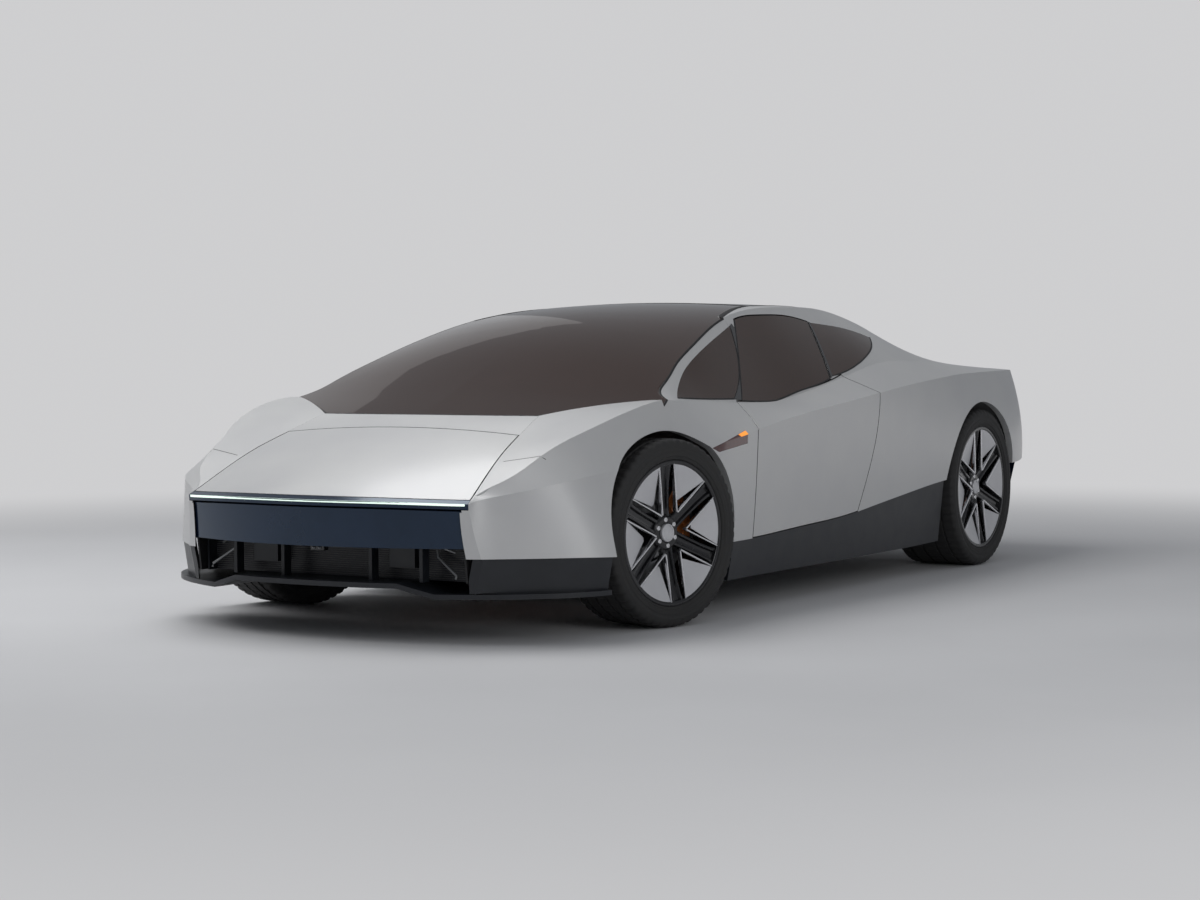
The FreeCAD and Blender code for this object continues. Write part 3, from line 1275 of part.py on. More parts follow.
add_piece("front_splitter", make_splitter())
add_piece("front_intake", make_intake())
skirt = make_skirts()
add_piece("side_skirts", Part.makeCompound([skirt, mirrored(skirt)]))
marker = common(side_skin(0, S.marker_depth), side_prism(marker_shares))
add_piece("side_markers", Part.makeCompound([marker, mirrored(marker)]))
front_liner = make_liner(arch_place, S.front_tyre_radius, S.front_arch_half_length + S.liner_gap,
                         under_hood(S.panel_thickness + S.seat_gap))
rear_liner = make_liner(rear_axle, S.rear_tyre_radius, S.rear_arch_radius + S.liner_gap,
                        under_glass(S.panel_thickness + S.seat_gap))
liners = [front_liner, rear_liner]
add_piece("wheel_liners", Part.makeCompound(liners + [mirrored(liner) for liner in liners]))
add_piece("rear_fascia", make_rear_fascia())
add_piece("tail_light_bar", make_tail_light())
add_piece("rear_diffuser", make_diffuser())
for side, name in ((1, "left"), (-1, "right")):
    front = steered(side, S.upright_place, S.front_tyre_radius)
    rear = straight(side)
    for axle, parked, width, radius, rim in (
            ("front_", spun(front, side), T.front_tyre_width, T.front_tyre_radius, T.front_rim_radius),
            ("rear_", spun(rear, side), T.rear_tyre_width, T.rear_tyre_radius, T.rear_rim_radius)):
        make_tyre("tyre_" + axle + name, parked, width, radius, rim)
        make_rim("wheel_" + axle + name, parked, width, rim)
        make_blades("blades_" + axle + name, parked, rim)
    make_upright("knuckle_front_" + name, front, side > 0, True)
    make_upright("upright_rear_" + name, rear, side < 0, False)
    make_seat("seat_" + name, side * S.seat_place)

front_pin = S.front_wheel_face - S.upright_place
add_piece("arms_front", make_arms(front_axle, S.front_tyre_radius, front_pin, S.pin_radius + S.seat_gap))
rear_pin = S.rear_wheel_face - S.upright_place
add_piece("arms_rear", make_arms(rear_axle, S.rear_tyre_radius, rear_pin, 0))
make_dashboard("dashboard")
make_steering_wheel("steering_wheel")
half = T.rail_place - T.rail_width - T.seat_gap
axle = T.front_overhang - T.body_length * 0.5 + T.wheelbase
drive = bound_box("drive_unit", -half, axle - T.drive_length * 0.5, T.rear_rail_low,
                  half * 2, T.drive_length, T.drive_height)
pieces.append(drive)


def check_document():
    """Stops the build where an object failed or a piece is not a sound solid."""
    doc.recompute()
    for item in doc.Objects:
        if "Invalid" in item.State or "Error" in item.State:
            raise RuntimeError(item.Label + " did not recompute")
    for piece in pieces:
        if piece.Shape.isNull() or not piece.Shape.isValid() or not piece.Shape.Solids:
            raise RuntimeError(piece.Label + " is not a valid solid")


check_document()
os.makedirs("parts", exist_ok=True)
for piece in pieces:
    piece.Shape.exportStep("parts/" + piece.Label + ".step")
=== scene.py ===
import json
from math import acos, asin, atan2, copysign, cos, dist, exp, pi, radians, sin, sqrt

import bmesh
import bpy
from mathutils import Matrix, Vector
from mathutils.bvhtree import BVHTree


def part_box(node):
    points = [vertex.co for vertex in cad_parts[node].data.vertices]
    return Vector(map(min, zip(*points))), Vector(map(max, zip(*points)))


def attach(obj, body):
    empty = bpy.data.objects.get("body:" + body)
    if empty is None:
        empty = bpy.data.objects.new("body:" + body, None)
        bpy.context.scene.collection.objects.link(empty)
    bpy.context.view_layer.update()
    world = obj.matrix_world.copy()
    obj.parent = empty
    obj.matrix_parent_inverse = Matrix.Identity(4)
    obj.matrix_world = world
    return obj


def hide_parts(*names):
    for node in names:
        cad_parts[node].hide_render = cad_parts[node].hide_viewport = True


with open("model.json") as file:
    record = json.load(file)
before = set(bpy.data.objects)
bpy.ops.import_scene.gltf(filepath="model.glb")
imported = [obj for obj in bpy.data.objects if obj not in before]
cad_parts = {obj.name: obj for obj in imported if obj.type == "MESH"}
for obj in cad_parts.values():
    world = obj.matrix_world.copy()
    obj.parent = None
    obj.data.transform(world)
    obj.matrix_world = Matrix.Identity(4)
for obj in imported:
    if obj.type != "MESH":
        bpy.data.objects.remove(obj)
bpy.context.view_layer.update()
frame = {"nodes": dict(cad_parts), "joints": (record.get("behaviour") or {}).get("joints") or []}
nodes = frame["nodes"]

SIDES = (("left", 1), ("right", -1))
AXLES = ("front", "rear")


# Materials

def fill(tree, socket, value):
    """Links an output to a socket, or gives the socket a value or an opaque colour."""
    if isinstance(value, bpy.types.NodeSocket):
        tree.links.new(value, socket)
    elif socket.type == "RGBA":
        socket.default_value = (*value, 1)
    else:
        socket.default_value = value


def make_node(tree, kind, settings=None, **inputs):
    """New node, its settings, and its sockets with a value or another node's output each."""
    node = tree.nodes.new("ShaderNode" + kind)
    for key, value in (settings or {}).items():
        setattr(node, key, value)
    for key, value in inputs.items():
        fill(tree, node.inputs[key.replace("_", " ")], value)
    return node


def combine(tree, operation, first, second):
    """What a sum of two values or outputs gives."""
    node = make_node(tree, "Math", {"operation": operation})
    fill(tree, node.inputs[0], first)
    fill(tree, node.inputs[1], second)
    return node.outputs[0]


def noise(tree, vector, scale, detail=4.0):
    node = make_node(tree, "TexNoise", Vector=vector, Scale=scale, Detail=detail, Roughness=0.55)
    return node.outputs["Fac"]


def span(tree, factor, low, high, start=0.3, end=0.7):
    """A number that runs from low to high as the factor goes from start to end."""
    node = make_node(tree, "MapRange", Value=factor, From_Min=start, From_Max=end, To_Min=low,
                     To_Max=high)
    return node.outputs["Result"]


def blend_color(tree, factor, first, second):
    node = make_node(tree, "Mix", {"data_type": "RGBA"}, Factor=factor, A=first, B=second)
    return node.outputs["Result"]


def surface(name, first, second, rough, spread, scale, relief=0.0, grain=0.0, coat=None, **sockets):
    """Material whose colour and roughness vary by noise, with a fine grain in its relief."""
    material = bpy.data.materials.new(name)
    material.use_nodes = True
    tree = material.node_tree
    shader = tree.nodes["Principled BSDF"]
    fill(tree, shader.inputs["Base Color"], first)
    fill(tree, shader.inputs["Roughness"], rough)
    vector = make_node(tree, "TexCoord").outputs["Object"]
    broad = noise(tree, vector, scale)
    sockets["Base_Color"] = blend_color(tree, span(tree, broad, 0.0, 1.0), first, second)
    sockets["Roughness"] = span(tree, broad, rough - spread, rough + spread)
    if relief:
        bump = make_node(tree, "Bump", Strength=0.5, Distance=relief,
                         Height=noise(tree, vector, grain, 6.0))
        sockets["Normal"] = bump.outputs["Normal"]
    if coat:
        sockets["Coat_Weight"], sockets["Coat_Roughness"] = coat
    for key, value in sockets.items():
        fill(tree, shader.inputs[key.replace("_", " ")], value)
    return material


paint = surface(
    "pearl_silver_paint", (0.6, 0.6, 0.605), (0.64, 0.64, 0.635), 0.42, 0.02, 3.0, 0.00002, 2600,
    Metallic=0.3, coat=(0.3, 0.18))
glass = surface(
    "bronze_glass", (0.06, 0.028, 0.02), (0.068, 0.032, 0.023), 0.03, 0.008, 2.0,
    Transmission_Weight=0.6, IOR=1.52, Specular_Tint=(1.0, 0.66, 0.5), coat=(0.2, 0.02))
gloss = surface(
    "midnight_blue_gloss", (0.006, 0.013, 0.03), (0.009, 0.018, 0.04), 0.2, 0.03, 6.0, 0.00003, 900,
    Specular_Tint=(0.55, 0.75, 1.0), coat=(0.35, 0.08), Coat_Tint=(0.7, 0.85, 1.0))
trim = surface(
    "gloss_black_trim", (0.01, 0.01, 0.012), (0.015, 0.015, 0.017), 0.22, 0.04, 9.0, 0.00003, 900,
    coat=(0.5, 0.1))
satin = surface(
    "satin_black_moulding", (0.009, 0.011, 0.015), (0.014, 0.016, 0.021), 0.36, 0.05, 12.0, 0.00008,
    900)
rubber = surface(
    "tyre_rubber", (0.018, 0.018, 0.019), (0.03, 0.029, 0.028), 0.72, 0.08, 30.0, 0.0002, 1400)
rim_black = surface(
    "black_alloy", (0.012, 0.012, 0.014), (0.02, 0.02, 0.023), 0.26, 0.05, 14.0, 0.00004, 1200,
    Metallic=0.6, coat=(0.6, 0.08))
machined = surface(
    "machined_edge", (0.72, 0.72, 0.74), (0.8, 0.8, 0.82), 0.24, 0.05, 40.0, 0.00002, 2400,
    Metallic=1.0)
blade_grey = surface(
    "satin_grey_blade", (0.6, 0.6, 0.62), (0.65, 0.65, 0.67), 0.42, 0.04, 10.0, 0.00004, 1500,
    Metallic=0.35, coat=(0.3, 0.2))
iron = surface(
    "cast_iron", (0.1, 0.1, 0.105), (0.16, 0.155, 0.15), 0.55, 0.1, 25.0, 0.0004, 500, Metallic=0.8)
disc_face = surface(
    "turned_disc", (0.3, 0.3, 0.31), (0.38, 0.38, 0.39), 0.34, 0.06, 60.0, 0.00005, 1600, Metallic=1.0,
    Anisotropic=0.6)
copper = surface(
    "copper_caliper", (0.55, 0.17, 0.045), (0.66, 0.23, 0.07), 0.32, 0.05, 20.0, 0.00005, 900,
    Metallic=0.7, coat=(0.5, 0.1))
alloy = surface(
    "chassis_alloy", (0.24, 0.245, 0.25), (0.32, 0.325, 0.33), 0.48, 0.08, 8.0, 0.0002, 500,
    Metallic=0.85)
leather = surface(
    "cream_leather", (0.36, 0.31, 0.27), (0.42, 0.37, 0.32), 0.58, 0.06, 18.0, 0.0005, 700,
    Sheen_Weight=0.2, Sheen_Roughness=0.4)
dark_leather = surface(
    "dark_leather", (0.035, 0.03, 0.028), (0.05, 0.043, 0.04), 0.55, 0.06, 18.0, 0.0005, 700)
felt = surface(
    "lining_felt", (0.022, 0.022, 0.024), (0.036, 0.036, 0.038), 0.9, 0.05, 40.0, 0.0008, 600,
    Sheen_Weight=0.3)
seal = surface(
    "window_seal", (0.008, 0.008, 0.009), (0.013, 0.013, 0.014), 0.6, 0.06, 60.0, 0.0001, 900)
lamp_white = surface(
    "white_light_guide", (0.7, 0.78, 0.72), (0.76, 0.84, 0.78), 0.2, 0.03, 20.0,
    Emission_Color=(0.8, 1.0, 0.88), Emission_Strength=0.9, coat=(1.0, 0.05))
lamp_red = surface(
    "red_lens", (0.075, 0.006, 0.005), (0.11, 0.008, 0.006), 0.14, 0.03, 40.0, Transmission_Weight=0.25,
    coat=(1.0, 0.05))
lamp_tail = surface(
    "tail_lens", (0.36, 0.01, 0.008), (0.46, 0.014, 0.01), 0.14, 0.03, 40.0,
    Emission_Color=(1.0, 0.03, 0.015), Emission_Strength=0.35, coat=(1.0, 0.05))
lamp_amber = surface(
    "amber_lens", (0.85, 0.26, 0.02), (0.95, 0.34, 0.04), 0.14, 0.03, 40.0,
    Emission_Color=(1.0, 0.32, 0.03), Emission_Strength=0.8, coat=(1.0, 0.05))
screen_glass = surface(
    "screen_glass", (0.006, 0.007, 0.009), (0.01, 0.011, 0.014), 0.08, 0.02, 8.0, coat=(1.0, 0.03))
stitch = surface("seat_stitching", (0.6, 0.4, 0.22), (0.66, 0.45, 0.26), 0.6, 0.05, 300.0)
carbon = surface(
    "seat_shell", (0.022, 0.022, 0.024), (0.034, 0.034, 0.037), 0.3, 0.05, 140.0, 0.0001, 900,
    coat=(0.8, 0.08))


def shade_gaps(material, dark, reach):
    """Paints shade into a paint inside narrow gaps, where the opposite wall is near: its colour goes dark
    there, and its coat, metal and specular fade.
    """
    tree = material.node_tree
    sockets = tree.nodes["Principled BSDF"].inputs
    color = sockets["Base Color"]
    near = make_node(tree, "AmbientOcclusion", {"samples": 4}, Distance=reach)
    openness = span(tree, near.outputs["AO"], 0.0, 1.0, 0.58, 0.9)
    mix = make_node(tree, "Mix", {"data_type": "RGBA"}, Factor=openness, A=dark)
    tree.links.new(color.links[0].from_socket, mix.inputs["B"])
    tree.links.new(mix.outputs["Result"], color)
    for name in ("Coat Weight", "Metallic", "Specular IOR Level"):
        amount = combine(tree, "MULTIPLY", openness, sockets[name].default_value)
        tree.links.new(amount, sockets[name])


# Painted shade: the silver paint goes near black in its shut lines and seams, where the walls lie close.
shade_gaps(paint, (0.012, 0.012, 0.013), 0.018)

SLOT_LOOKS = {
    "paint": paint, "tinted_glass": glass, "dark_trim": gloss, "satin_black": satin, "light": lamp_white,
    "red_light": lamp_red, "tyre": rubber, "rim": rim_black, "blade": blade_grey, "iron": iron,
    "steel": alloy, "seat": leather, "liner": felt,
}
for node in nodes.values():
    for slot in node.material_slots:
        slot.material = SLOT_LOOKS[slot.material.name.split(".")[0]]
nodes["front_light_bar"].material_slots[0].material = gloss
nodes["tail_light_bar"].material_slots[0].material = lamp_tail


# Mesh helpers

def show(name, data):
    """Object with its data in the scene."""
    item = bpy.data.objects.new(name, data)
    bpy.context.scene.collection.objects.link(item)
    return item


def piece(name, verts, faces, look, body, slot, matrix=None, sharp=35, soften=0.0, steps=2):
    """A closed mesh as a piece that rides on a body, with its sharp edges softened."""
    mesh = bmesh.new()
    made = [mesh.verts.new(v) for v in verts]
    for face in faces:
        mesh.faces.new([made[i] for i in face])
    bmesh.ops.remove_doubles(mesh, verts=mesh.verts[:], dist=1e-6)
    bmesh.ops.recalc_face_normals(mesh, faces=mesh.faces[:])
    if soften:
        edges = [e for e in mesh.edges if len(e.link_faces) == 2
                 and e.calc_face_angle() > radians(sharp)]
        bmesh.ops.bevel(mesh, geom=edges, offset=soften, segments=steps, profile=0.6, affect="EDGES",
                        clamp_overlap=True)
    if matrix is not None:
        mesh.transform(matrix)
        bmesh.ops.recalc_face_normals(mesh, faces=mesh.faces[:])
    data = bpy.data.meshes.new(name)
    mesh.to_mesh(data)
    mesh.free()
    data.materials.append(look)
    data.polygons.foreach_set("use_smooth", [True] * len(data.polygons))
    data.set_sharp_from_angle(angle=radians(sharp))
    made_piece = show(name, data)
    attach(made_piece, body)
    return made_piece


def circle(count):
    """Angles of even steps round a full turn."""
    return [2 * pi * step / count for step in range(count)]


class Solid:
    """Gathers the vertices and faces of a mesh made of several closed forms."""

    def __init__(self):
        self.verts = []
        self.faces = []

    def add(self, verts, faces, matrix=None):
        base = len(self.verts)
        self.verts += [matrix @ Vector(v) if matrix else Vector(v) for v in verts]
        self.faces += [[base + i for i in face] for face in faces]
        return self

    def loft(self, rings, closed=False, matrix=None):
        """Rings of equal length joined one to the next, capped at the ends or closed on itself."""
        count = len(rings[0])
        verts = [v for ring in rings for v in ring]
        faces = []
        for step in range(len(rings) if closed else len(rings) - 1):
            start, end = step * count, (step + 1) % len(rings) * count
            faces += [[start + i, start + (i + 1) % count, end + (i + 1) % count, end + i]
                      for i in range(count)]
        if not closed:
            faces += [list(range(count)), list(range(len(verts) - count, len(verts)))]
        return self.add(verts, faces, matrix)

    def turned(self, profile, count, radius_at=None, matrix=None):
        """Closed profile of depth and radius turned about the X axis."""
        rings = []
        for step, angle in enumerate(circle(count)):
            ring = []
            for index, (x, r) in enumerate(profile):
                r = radius_at(index, step, r) if radius_at else r
                ring.append((x, r * sin(angle), r * cos(angle)))
            rings.append(ring)
        return self.loft(rings, True, matrix)

    def box(self, low, high, matrix=None):
        (a, b, c), (d, e, f) = low, high
        return self.loft([[(x, b, c), (x, e, c), (x, e, f), (x, b, f)] for x in (a, d)], matrix=matrix)

    def tube(self, points, radius, count=12):
        """Round bar along a line of points."""
        points = [Vector(p) for p in points]
        rings = []
        guide = Vector((0.31, 0.17, 0.93))
        for index, point in enumerate(points):
            ahead = points[min(index + 1, len(points) - 1)] - points[max(index - 1, 0)]
            ahead.normalize()
            first = ahead.cross(guide).normalized()
            second = ahead.cross(first)
            rings.append([point + first * radius * cos(a) + second * radius * sin(a)
                          for a in circle(count)])
        return self.loft(rings)

    def make(self, name, look, body, slot, **options):
        return piece(name, self.verts, self.faces, look, body, slot, **options)


# Wheels

WHEELS = {
    "front": {"radius": 0.348, "width": 0.265, "rim": 0.269},
    "rear": {"radius": 0.363, "width": 0.325, "rim": 0.282},
}
SPOKES = 6
BAND_HALF = 0.042
APEX_DEPTH = 0.018
LIP_DEPTH = 0.012
TIP_RADIUS = 0.122
TIP_DEPTH = 0.042
PARKED_SPIN = radians(7)
TREAD_PITCHES, PITCH_STEPS = 56, 5
GROOVE_SHARES = (0.2, 0.395, 0.605, 0.8)
GROOVE_HALF, GROOVE_DEPTH = 0.005, 0.0075
DISC_RADIUS, DISC_BORE, VANES = 0.19, 0.112, 44
CALIPER_ARC, CALIPER_STEPS = radians(75), 24
CALIPER_INNER, CALIPER_OUTER = 0.1235, 0.2235
CALIPER_BACK, CALIPER_FACE = -0.1775, -0.1065
joints = {joint["name"]: joint for joint in frame["joints"]}


def wheel_place(axle, name):
    """Matrix of a wheel: X runs outward along the axle, from the tyre's outer face."""
    low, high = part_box("tyre_" + axle + "_" + name)
    side = 1 if name == "left" else -1
    joint = joints["spin_" + axle + "_" + name]
    outward = Vector(joint["axis"]).normalized()
    if outward.x * side < 0:
        outward = -outward
    centre = (low + high) / 2
    face = centre + outward * WHEELS[axle]["width"] / 2
    return Matrix.Translation(face) @ Matrix.Rotation(atan2(outward.y, outward.x), 4, "Z")


def on_wheel(solid, kind, look, slot, axle, name, matrix, **options):
    """Piece of a wheel, named after the wheel and turning with it."""
    place_name = axle + "_" + name
    return solid.make(kind + "_" + place_name, look, "wheel_" + place_name, slot, matrix=matrix,
                      **options)


def make_tyre(axle, name, matrix):
    size = WHEELS[axle]
    radius, width, rim = size["radius"], size["width"], size["rim"]
    wall = radius - rim
    half = [(-0.012, rim + 0.0004), (-0.0075, rim + 0.003), (-0.0045, rim + 0.009),
            (-0.005, rim + 0.0115), (-0.0012, rim + 0.016), (-0.0004, rim + wall * 0.38),
            (-0.0014, rim + wall * 0.4), (-0.001, rim + wall * 0.56), (-0.0002, rim + wall * 0.58),
            (-0.002, rim + wall * 0.76), (-0.006, rim + wall * 0.88), (-0.0115, radius - 0.0045),
            (-0.019, radius - 0.0022)]
    tread = []
    for share in GROOVE_SHARES:
        for side, lean, drop in ((1, 0.001, 0.0004), (1, -0.001, GROOVE_DEPTH),
                                 (-1, 0.001, GROOVE_DEPTH), (-1, -0.001, 0.0004)):
            tread.append((-width * share + side * GROOVE_HALF + lean, radius - drop))
    profile = half + tread + [(-width - x, r) for x, r in reversed(half)]
    shoulder = set(range(10, len(half) + 1)) | set(range(len(profile) - len(half) - 1, len(profile) - 10))

    def radius_at(index, step, r):
        phase = step % PITCH_STEPS
        if index in shoulder and phase in (1, 2):
            return r - 0.0045
        if len(half) + 4 <= index < len(half) + 12 and r > radius - 0.002 and phase == 3:
            return r - 0.003
        return r

    solid = Solid().turned(profile, TREAD_PITCHES * PITCH_STEPS, radius_at)
    tyre = on_wheel(solid, "tread_tyre", rubber, "tyre", axle, name, matrix, sharp=30)
    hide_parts("tyre_" + axle + "_" + name)


def spoke_matrix(step, offset=0.0):
    return Matrix.Rotation(2 * pi * (step + offset) / SPOKES, 4, "X")


def make_star(axle, name, matrix):
    """Black alloy: barrel, hub and six hollowed spokes."""
    size = WHEELS[axle]
    rim, width = size["rim"], size["width"]
    well = rim - 0.032
    far = -width + 0.012
    solid = Solid()
    solid.turned([(-0.0125, rim - 0.0165), (-0.01, rim - 0.01), (-0.0105, rim - 0.001), (-0.0125, rim),
                  (-0.019, rim), (-0.023, rim - 0.012), (-0.06, rim - 0.013), (-0.08, well + 0.008),
                  (-0.125, well + 0.008), (-0.15, rim - 0.013), (far + 0.012, rim - 0.012),
                  (far + 0.006, rim), (far, rim), (far - 0.001, rim - 0.014), (far + 0.02, rim - 0.018),
                  (-0.15, rim - 0.018), (-0.125, well + 0.002), (-0.08, well + 0.002),
                  (-0.055, rim - 0.019)], 144)
    sections = [(0.03, 0.032, 0.05, 0.01), (0.062, 0.03, 0.047, 0.009), (0.12, 0.028, 0.04, 0.01),
                (0.185, 0.027, 0.03, 0.011), (rim - 0.034, 0.03, 0.021, 0.01),
                (rim - 0.012, 0.038, 0.018, 0.008)]
    for step in range(SPOKES):
        rings = []
        for r, half, depth, hollow in sections:
            edge = [(0.026, 0.8), (0.008, 1), (0, 0.84), (0, 0.52), (hollow, 0.36)]
            rings.append([(-depth - drop, -half * share, r) for drop, share in edge]
                         + [(-depth - drop, half * share, r) for drop, share in reversed(edge)])
        solid.loft(rings, matrix=spoke_matrix(step))
    solid.turned([(-0.045, 0.034), (-0.043, 0.037), (-0.043, 0.058), (-0.05, 0.066), (-0.09, 0.07),
                  (-0.126, 0.076), (-0.128, 0.034)], 96)
    star = on_wheel(solid, "star", rim_black, "rim", axle, name, matrix, sharp=28, soften=0.0012)
    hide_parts("wheel_" + axle + "_" + name)


def make_ribs(axle, name, matrix):
    """Machined ribs along the spokes' edges: neighbours meet in a V near the hub."""
    rim = WHEELS[axle]["rim"]
    apex = BAND_HALF / sin(pi / SPOKES)
    reach = sqrt((rim - 0.012) ** 2 - BAND_HALF ** 2)
    inner = apex * cos(pi / SPOKES)
    solid = Solid()
    for step in range(SPOKES):
        for side in (-1, 1):
            rings = []
            for share in (0.0, 0.04, 0.5, 1.0):
                z = inner + (reach - inner) * share
                face = -APEX_DEPTH + (APEX_DEPTH - LIP_DEPTH + 0.0005) * share
                thick = 0.0052 - 0.0012 * share
                deep = 0.02 - 0.01 * share
                y = side * BAND_HALF
                rings.append([(face, y, z), (face, y - side * thick, z),
                              (face - deep * 0.3, y - side * thick * 1.3, z),
                              (face - deep, y - side * thick * 0.8, z),
                              (face - deep, y + side * 0.001, z),
                              (face - deep * 0.3, y + side * 0.0015, z)])
            solid.loft(rings, matrix=spoke_matrix(step))
    on_wheel(solid, "edge_ribs", machined, "rim", axle, name, matrix, sharp=25, soften=0.0005)


def make_facets(axle, name, matrix):
    """Grey aero blades: facets that dip from the rim's lip to a tip behind the ribs."""
    rim = WHEELS[axle]["rim"]
    edge = rim - 0.007
    half_angle = pi / SPOKES - asin((BAND_HALF + 0.0035) / edge)
    thick = 0.005
    solid = Solid()
    count = 18
    width = count + 1
    tip = Vector((-TIP_DEPTH, 0, TIP_RADIUS))
    angles = [-half_angle + 2 * half_angle * index / count for index in range(width)]
    outer, lip = [[Vector((x, r * sin(a), r * cos(a))) for a in angles]
                  for x, r in ((-LIP_DEPTH, edge), (-LIP_DEPTH - 0.0006, edge - 0.01))]
    rows = [outer] + [[p.lerp(tip, share) for p in lip] for share in (0.0, 0.25, 0.5, 0.75, 0.93)]
    verts = [p - Vector((depth, 0, 0)) for depth in (0, thick) for row in rows for p in row]
    lift = len(rows) * width
    faces = []
    for a in [r * width + c for r in range(len(rows) - 1) for c in range(count)]:
        b = a + width
        faces += [[a, a + 1, b + 1, b], [lift + a, lift + b, lift + b + 1, lift + a + 1]]
    loop = list(range(width)) + [r * width + count for r in range(1, len(rows))]
    loop += [(len(rows) - 1) * width + c for c in range(count - 1, -1, -1)]
    loop += [r * width for r in range(len(rows) - 2, 0, -1)]
    faces += [[a, b, lift + b, lift + a] for a, b in zip(loop, loop[1:] + loop[:1])]
    for step in range(SPOKES):
        solid.add(verts, faces, spoke_matrix(step, 0.5))
    facets = on_wheel(solid, "aero_facets", blade_grey, "blade", axle, name, matrix, sharp=20,
                      soften=0.0006)
    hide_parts("blades_" + axle + "_" + name)


def make_cap(axle, name, matrix):
    """Round centre cap with a ring, and a bolt at each spoke's root."""
    solid = Solid()
    solid.turned([(-0.07, 0.004), (-0.036, 0.0005), (-0.0355, 0.012), (-0.0362, 0.022),
                  (-0.0372, 0.0245), (-0.0372, 0.0262), (-0.035, 0.0275), (-0.035, 0.0318),
                  (-0.0372, 0.0335), (-0.07, 0.0335)], 72)
    on_wheel(solid, "centre_cap", blade_grey, "rim", axle, name, matrix, sharp=30, soften=0.0003)
    bolts = Solid()
    for step in range(SPOKES):
        bolts.turned([(-0.06, 0.001), (-0.0425, 0.001), (-0.0425, 0.004), (-0.041, 0.0046),
                      (-0.041, 0.0078), (-0.0425, 0.009), (-0.06, 0.009)], 24,
                     matrix=spoke_matrix(step) @ Matrix.Translation((0, 0, 0.0485)))
    on_wheel(bolts, "wheel_bolts", machined, "rim", axle, name, matrix, sharp=30)


def make_disc(axle, name, matrix):
    """Vented brake disc with its vanes and its hat."""
    solid = Solid()
    for depth in (0.128, 0.147):
        solid.turned([(-depth, DISC_BORE), (-depth, DISC_RADIUS), (-depth - 0.009, DISC_RADIUS),
                      (-depth - 0.009, DISC_BORE)], 120)
    for angle in circle(VANES):
        solid.box((-0.1475, -0.0016, 0.114), (-0.1365, 0.0016, DISC_RADIUS - 0.002),
                  Matrix.Rotation(angle, 4, "X"))
    solid.turned([(-0.12, 0.066), (-0.12, 0.1), (-0.129, 0.114), (-0.137, 0.114), (-0.137, 0.1),
                  (-0.157, 0.096), (-0.157, 0.066)], 96)
    on_wheel(solid, "brake_disc", disc_face, "iron", axle, name, matrix, sharp=30, soften=0.0006)


def make_caliper(axle, name, matrix, start):
    """Copper caliper over the brake disc, with cylinder bosses on its outer face."""
    body = ("knuckle_" + name) if axle == "front" else "body"
    low, high, inner = CALIPER_BACK, CALIPER_FACE, CALIPER_INNER
    rings = []
    for index in range(CALIPER_STEPS + 1):
        share = index / CALIPER_STEPS
        angle = start + CALIPER_ARC * share
        ease = sin(pi * min(max(share, 0.02), 0.98))
        top = CALIPER_OUTER - 0.012 * (1 - ease ** 0.4)
        ring = [(low, inner), (low, top - 0.018), (low + 0.012, top), (-0.15, top + 0.001),
                (-0.132, top + 0.001), (high - 0.014, top), (high, top - 0.02), (high, inner)]
        rings.append([(x, r * cos(angle), r * sin(angle)) for x, r in ring])
    solid = Solid().loft(rings)
    for share in (0.18, 0.42, 0.66, 0.86):
        turn = Matrix.Rotation(start + CALIPER_ARC * share - pi / 2, 4, "X")
        boss = Matrix.Translation((0, 0, 0.172))
        solid.turned([(high - 0.004, 0.001), (high + 0.005, 0.001), (high + 0.005, 0.0145),
                      (high + 0.002, 0.0185), (high - 0.004, 0.0195)], 28, matrix=turn @ boss)
    solid.make("caliper_" + axle + "_" + name, copper, body, "rim", matrix=matrix, sharp=30, soften=0.002)


for axle in AXLES:
    for name, side in SIDES:
        fixed = wheel_place(axle, name)
        rolled = fixed @ Matrix.Rotation(side * PARKED_SPIN, 4, "X")
        for make in (make_tyre, make_star, make_ribs, make_facets, make_cap, make_disc):
            make(axle, name, rolled)
        rearward = (axle == "front") == (side > 0)
        make_caliper(axle, name, fixed, radians(-20 if rearward else 125))


# Trims that follow the solids' surfaces

def drop_faces(mesh, faces):
    """Takes faces out of a mesh, and the corners that they leave loose."""
    bmesh.ops.delete(mesh, geom=faces, context="FACES")
    bmesh.ops.delete(mesh, geom=[v for v in mesh.verts if not v.link_faces], context="VERTS")


def outer_faces(node, toward, least=0.3):
    """Triangles of a node that look a given way, as a mesh with merged corners."""
    mesh = bmesh.new()
    mesh.from_mesh(nodes[node].data)
    bmesh.ops.remove_doubles(mesh, verts=mesh.verts[:], dist=1e-5)
    mesh.normal_update()
    toward = Vector(toward).normalized()
    drop_faces(mesh, [f for f in mesh.faces if f.normal.dot(toward) < least])
    return mesh


def rim_loops(mesh):
    """Closed loops of the mesh's open edges, each as a list of places and normals."""
    loops, left = [], dict.fromkeys(e for e in mesh.edges if len(e.link_faces) == 1)
    while left:
        edge = next(iter(left))
        del left[edge]
        start, here = edge.verts
        line = [start, here]
        while here != start:
            after = next((e for e in here.link_edges if e in left), None)
            if after is None:
                break
            del left[after]
            here = after.other_vert(here)
            line.append(here)
        if here == start and len(line) > 8:
            loops.append([(v.co.copy(), v.normal.copy()) for v in line[:-1]])
    return loops


